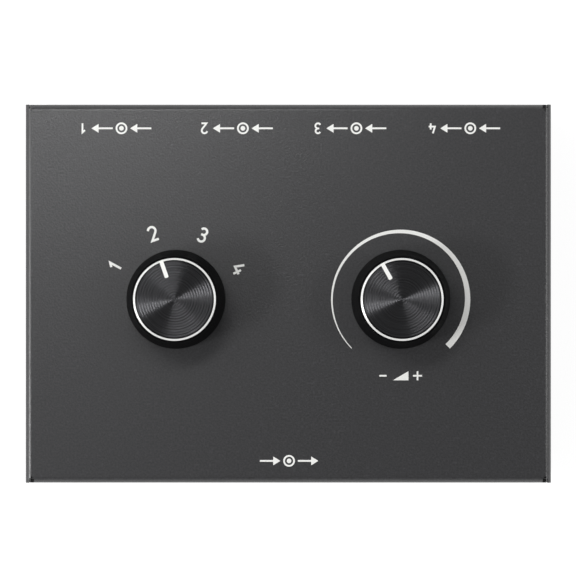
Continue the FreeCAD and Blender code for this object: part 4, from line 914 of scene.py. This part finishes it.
class PrintLabels(bpy.types.Operator):
    """Print the labels of the sockets and of the volume control"""

    bl_idname = "selector_box.print_labels"
    bl_label = "Labels"

    def execute(self, context):
        look = context.scene.selector_print
        ink, stroke = look.ink, look.stroke
        tall, digit, gap = look.label_height, 1.9 * MM, 1.3 * MM
        level = 43.7 * MM
        middles = (-45.7 * MM, -13.6 * MM, 16.4 * MM, 46.5 * MM)
        # The back labels read from behind. Each sign stands to the right of its number as seen here.
        sign_wide = look.label_width - digit - gap
        shape = new_object("sign", mesh_from(sign_of_socket(sign_wide, tall, stroke, ink), "sign"))
        places = bpy.data.meshes.new("places")
        aside = (digit + gap) / 2
        places.from_pydata([(x + aside, level, PANEL) for x in middles], [], [])
        signs = run_tree(
            "label_back_signs", copies_tree(), places, Shape=shape, Turn=math.pi, Material=ink_material()
        )
        bpy.data.objects.remove(shape)
        finish_piece(signs, "case", "print_ink")

        work = bmesh.new()
        for number, x in zip(NUMBERS, middles):
            spot = Matrix.Translation((x - (look.label_width - digit) / 2, level, PANEL))
            draw_number(work, spot @ Matrix.Rotation(math.pi, 4, "Z"), number, tall, stroke, ink)
        printed("label_back_numbers", work)

        work = sign_of_socket(look.front_width, tall, stroke, ink)
        front_middle = (0.2 * MM, -44.2 * MM, PANEL)
        work.transform(Matrix.Translation(front_middle))
        printed("label_front_sign", work)

        # Under the volume knob: a minus, a rising wedge and a plus
        work = bmesh.new()
        marks_level = -21.7 * MM
        place = Matrix.Translation((middle("volume_cap").x, marks_level, PANEL))
        half, cross = 11.3 * MM / 2, 2.4 * MM
        minus, wedge_half = 0.8 * cross, half - 1.5 * cross
        draw_line(work, place, [(-half, 0), (minus - half, 0)], stroke, ink)
        wedge = (
            ((-wedge_half, TIP - cross / 2), (-wedge_half, -cross / 2)),
            ((wedge_half, cross / 2), (wedge_half, -cross / 2)),
        )
        strip(work, place, [(left, right, 0, ink) for left, right in wedge])
        upright = half - cross / 2
        draw_line(work, place, [(half - cross, 0), (half, 0)], stroke, ink)
        draw_line(work, place, [(upright, -cross / 2), (upright, cross / 2)], stroke, ink * CROSSING)
        printed("label_volume_marks", work)
        return {"FINISHED"}


# The stage


class SetStage(bpy.types.Operator):
    """Set the floor, the lights and the camera straight above the box"""

    bl_idname = "selector_box.set_stage"
    bl_label = "Stage"

    def execute(self, context):
        look = context.scene.selector_stage
        self.set_world(look)
        self.set_floor(look)
        # The two far lights streak the caps to the left and right, and the near one lifts their back left
        small = (0.14, 0.08)
        self.set_light("key_light", (-0.3, 0.16, 0.42), (0.3, 0.3), look.key_power)
        self.set_light("left_light", (-0.42, -0.12, 0.46), small, look.left_power)
        self.set_light("back_light", (-0.065, 0.11, 0.34), (0.13, 0.05), look.back_power)
        self.set_light("right_light", (0.35, 0.03, 0.46), small, look.right_power)

        camera = bpy.data.cameras.new("camera")
        camera.sensor_width = 36.0
        camera.lens = camera.sensor_width * look.distance / look.frame_width
        camera.clip_end = 20.0
        holder = new_object("camera", camera)
        picture_middle = (-0.08 * MM, 1.49 * MM)
        holder.location = (*picture_middle, PANEL + look.distance)
        context.scene.camera = holder
        context.scene.view_settings.view_transform = "Standard"
        return {"FINISHED"}

    def set_world(self, look):
        """A dome that is white at its sides, behind the object, and dim overhead."""
        world = bpy.data.worlds.new("studio")
        bpy.context.scene.world = world
        world.use_nodes = True
        tree = world.node_tree
        tree.nodes.clear()
        way = add(tree, "ShaderNodeSeparateXYZ", {0: add(tree, "ShaderNodeTexCoord").outputs["Generated"]})
        level = add(
            tree,
            "ShaderNodeMapRange",
            {"Value": way.outputs[2], "From Min": 0.25, "To Min": look.side_level, "To Max": look.top_level},
        )
        dome = add(tree, "ShaderNodeBackground", {"Color": (1, 1, 1, 1), "Strength": level.outputs[0]})
        add(tree, "ShaderNodeOutputWorld", {0: dome.outputs[0]})

    def set_floor(self, look):
        """A plain white floor that keeps a faint shadow and is clear from below."""
        mesh = bpy.data.meshes.new("floor")
        far, level = 3.0, -0.02 * MM
        corners = [(x, y, level) for x, y in ((-far, -far), (far, -far), (far, far), (-far, far))]
        mesh.from_pydata(corners, [], [(0, 1, 2, 3)])
        made, tree = start_material("white_sweep")
        path = add(tree, "ShaderNodeLightPath").outputs
        seen = {0: path["Is Camera Ray"], 1: path["Is Glossy Ray"]}
        straight = add(tree, "ShaderNodeMath", seen, operation="MAXIMUM")
        seen = {0: straight.outputs[0], 1: path["Is Transmission Ray"]}
        shown = add(tree, "ShaderNodeMath", seen, operation="MAXIMUM")
        # What lights the object is a pale paint. What is seen is a glow and enough paint for a shadow.
        paint = add(tree, "ShaderNodeBsdfDiffuse", {"Color": (0.85, 0.85, 0.85, 1)})
        glow = add(tree, "ShaderNodeEmission", {"Color": (1, 1, 1, 1), "Strength": look.floor_glow})
        shade = add(tree, "ShaderNodeBsdfDiffuse", {"Color": (0.3, 0.3, 0.3, 1)})
        white = add(tree, "ShaderNodeAddShader", {0: glow.outputs[0], 1: shade.outputs[0]})
        top = add(
            tree, "ShaderNodeMixShader", {0: shown.outputs[0], 1: paint.outputs[0], 2: white.outputs[0]}
        )
        below = add(tree, "ShaderNodeNewGeometry").outputs["Backfacing"]
        clear = add(tree, "ShaderNodeBsdfTransparent")
        one_way = add(tree, "ShaderNodeMixShader", {0: below, 1: top.outputs[0], 2: clear.outputs[0]})
        add(tree, "ShaderNodeOutputMaterial", {"Surface": one_way.outputs[0]})
        mesh.materials.append(made)
        new_object("floor", mesh)

    def set_light(self, name, place, size, power):
        """A rectangle of light that faces the middle of the panel and doesn't show."""
        light = bpy.data.lights.new(name, "AREA")
        light.shape = "RECTANGLE"
        light.size, light.size_y = size
        light.energy = power
        holder = new_object(name, light)
        holder.location = place
        holder.rotation_euler = (Vector((0, 0, PANEL)) - holder.location).to_track_quat("-Z", "Y").to_euler()
        holder.visible_camera = False


class SelectorBoxPanel(bpy.types.Panel):
    """Sizes, finishes and steps of the selector box"""

    bl_idname = "VIEW3D_PT_selector_box"
    bl_label = "Selector box"
    bl_space_type = "VIEW_3D"
    bl_region_type = "UI"
    bl_category = "Selector box"

    def draw(self, context):
        for name, kind in LOOKS.items():
            box = self.layout.box()
            for setting in kind.__annotations__:
                box.prop(getattr(context.scene, name), setting)
        for step in STEPS:
            self.layout.operator(step.bl_idname)


LOOKS = {
    "selector_case": CaseLook,
    "selector_knobs": KnobLook,
    "selector_print": PrintLook,
    "selector_stage": StageLook,
}
STEPS = (
    DressFrame,
    BuildSleeves,
    BuildKnobs,
    BuildCaps,
    BuildPointers,
    PrintDial,
    PrintArc,
    PrintLabels,
    SetStage,
)


def register():
    for kind in (*LOOKS.values(), *STEPS, SelectorBoxPanel):
        bpy.utils.register_class(kind)
    for name, kind in LOOKS.items():
        setattr(bpy.types.Scene, name, PointerProperty(type=kind))


def unregister():
    for name in LOOKS:
        delattr(bpy.types.Scene, name)
    for kind in reversed((*LOOKS.values(), *STEPS, SelectorBoxPanel)):
        bpy.utils.unregister_class(kind)


def main():
    """Builds the dressed model."""
    register()
    bpy.ops.selector_box.dress_frame()
    bpy.ops.selector_box.build_sleeves()
    bpy.ops.selector_box.build_knobs()
    bpy.ops.selector_box.build_caps()
    bpy.ops.selector_box.build_pointers()
    bpy.ops.selector_box.print_dial()
    bpy.ops.selector_box.print_arc()
    bpy.ops.selector_box.print_labels()
    bpy.ops.selector_box.set_stage()


if __name__ == "__main__":
    main()
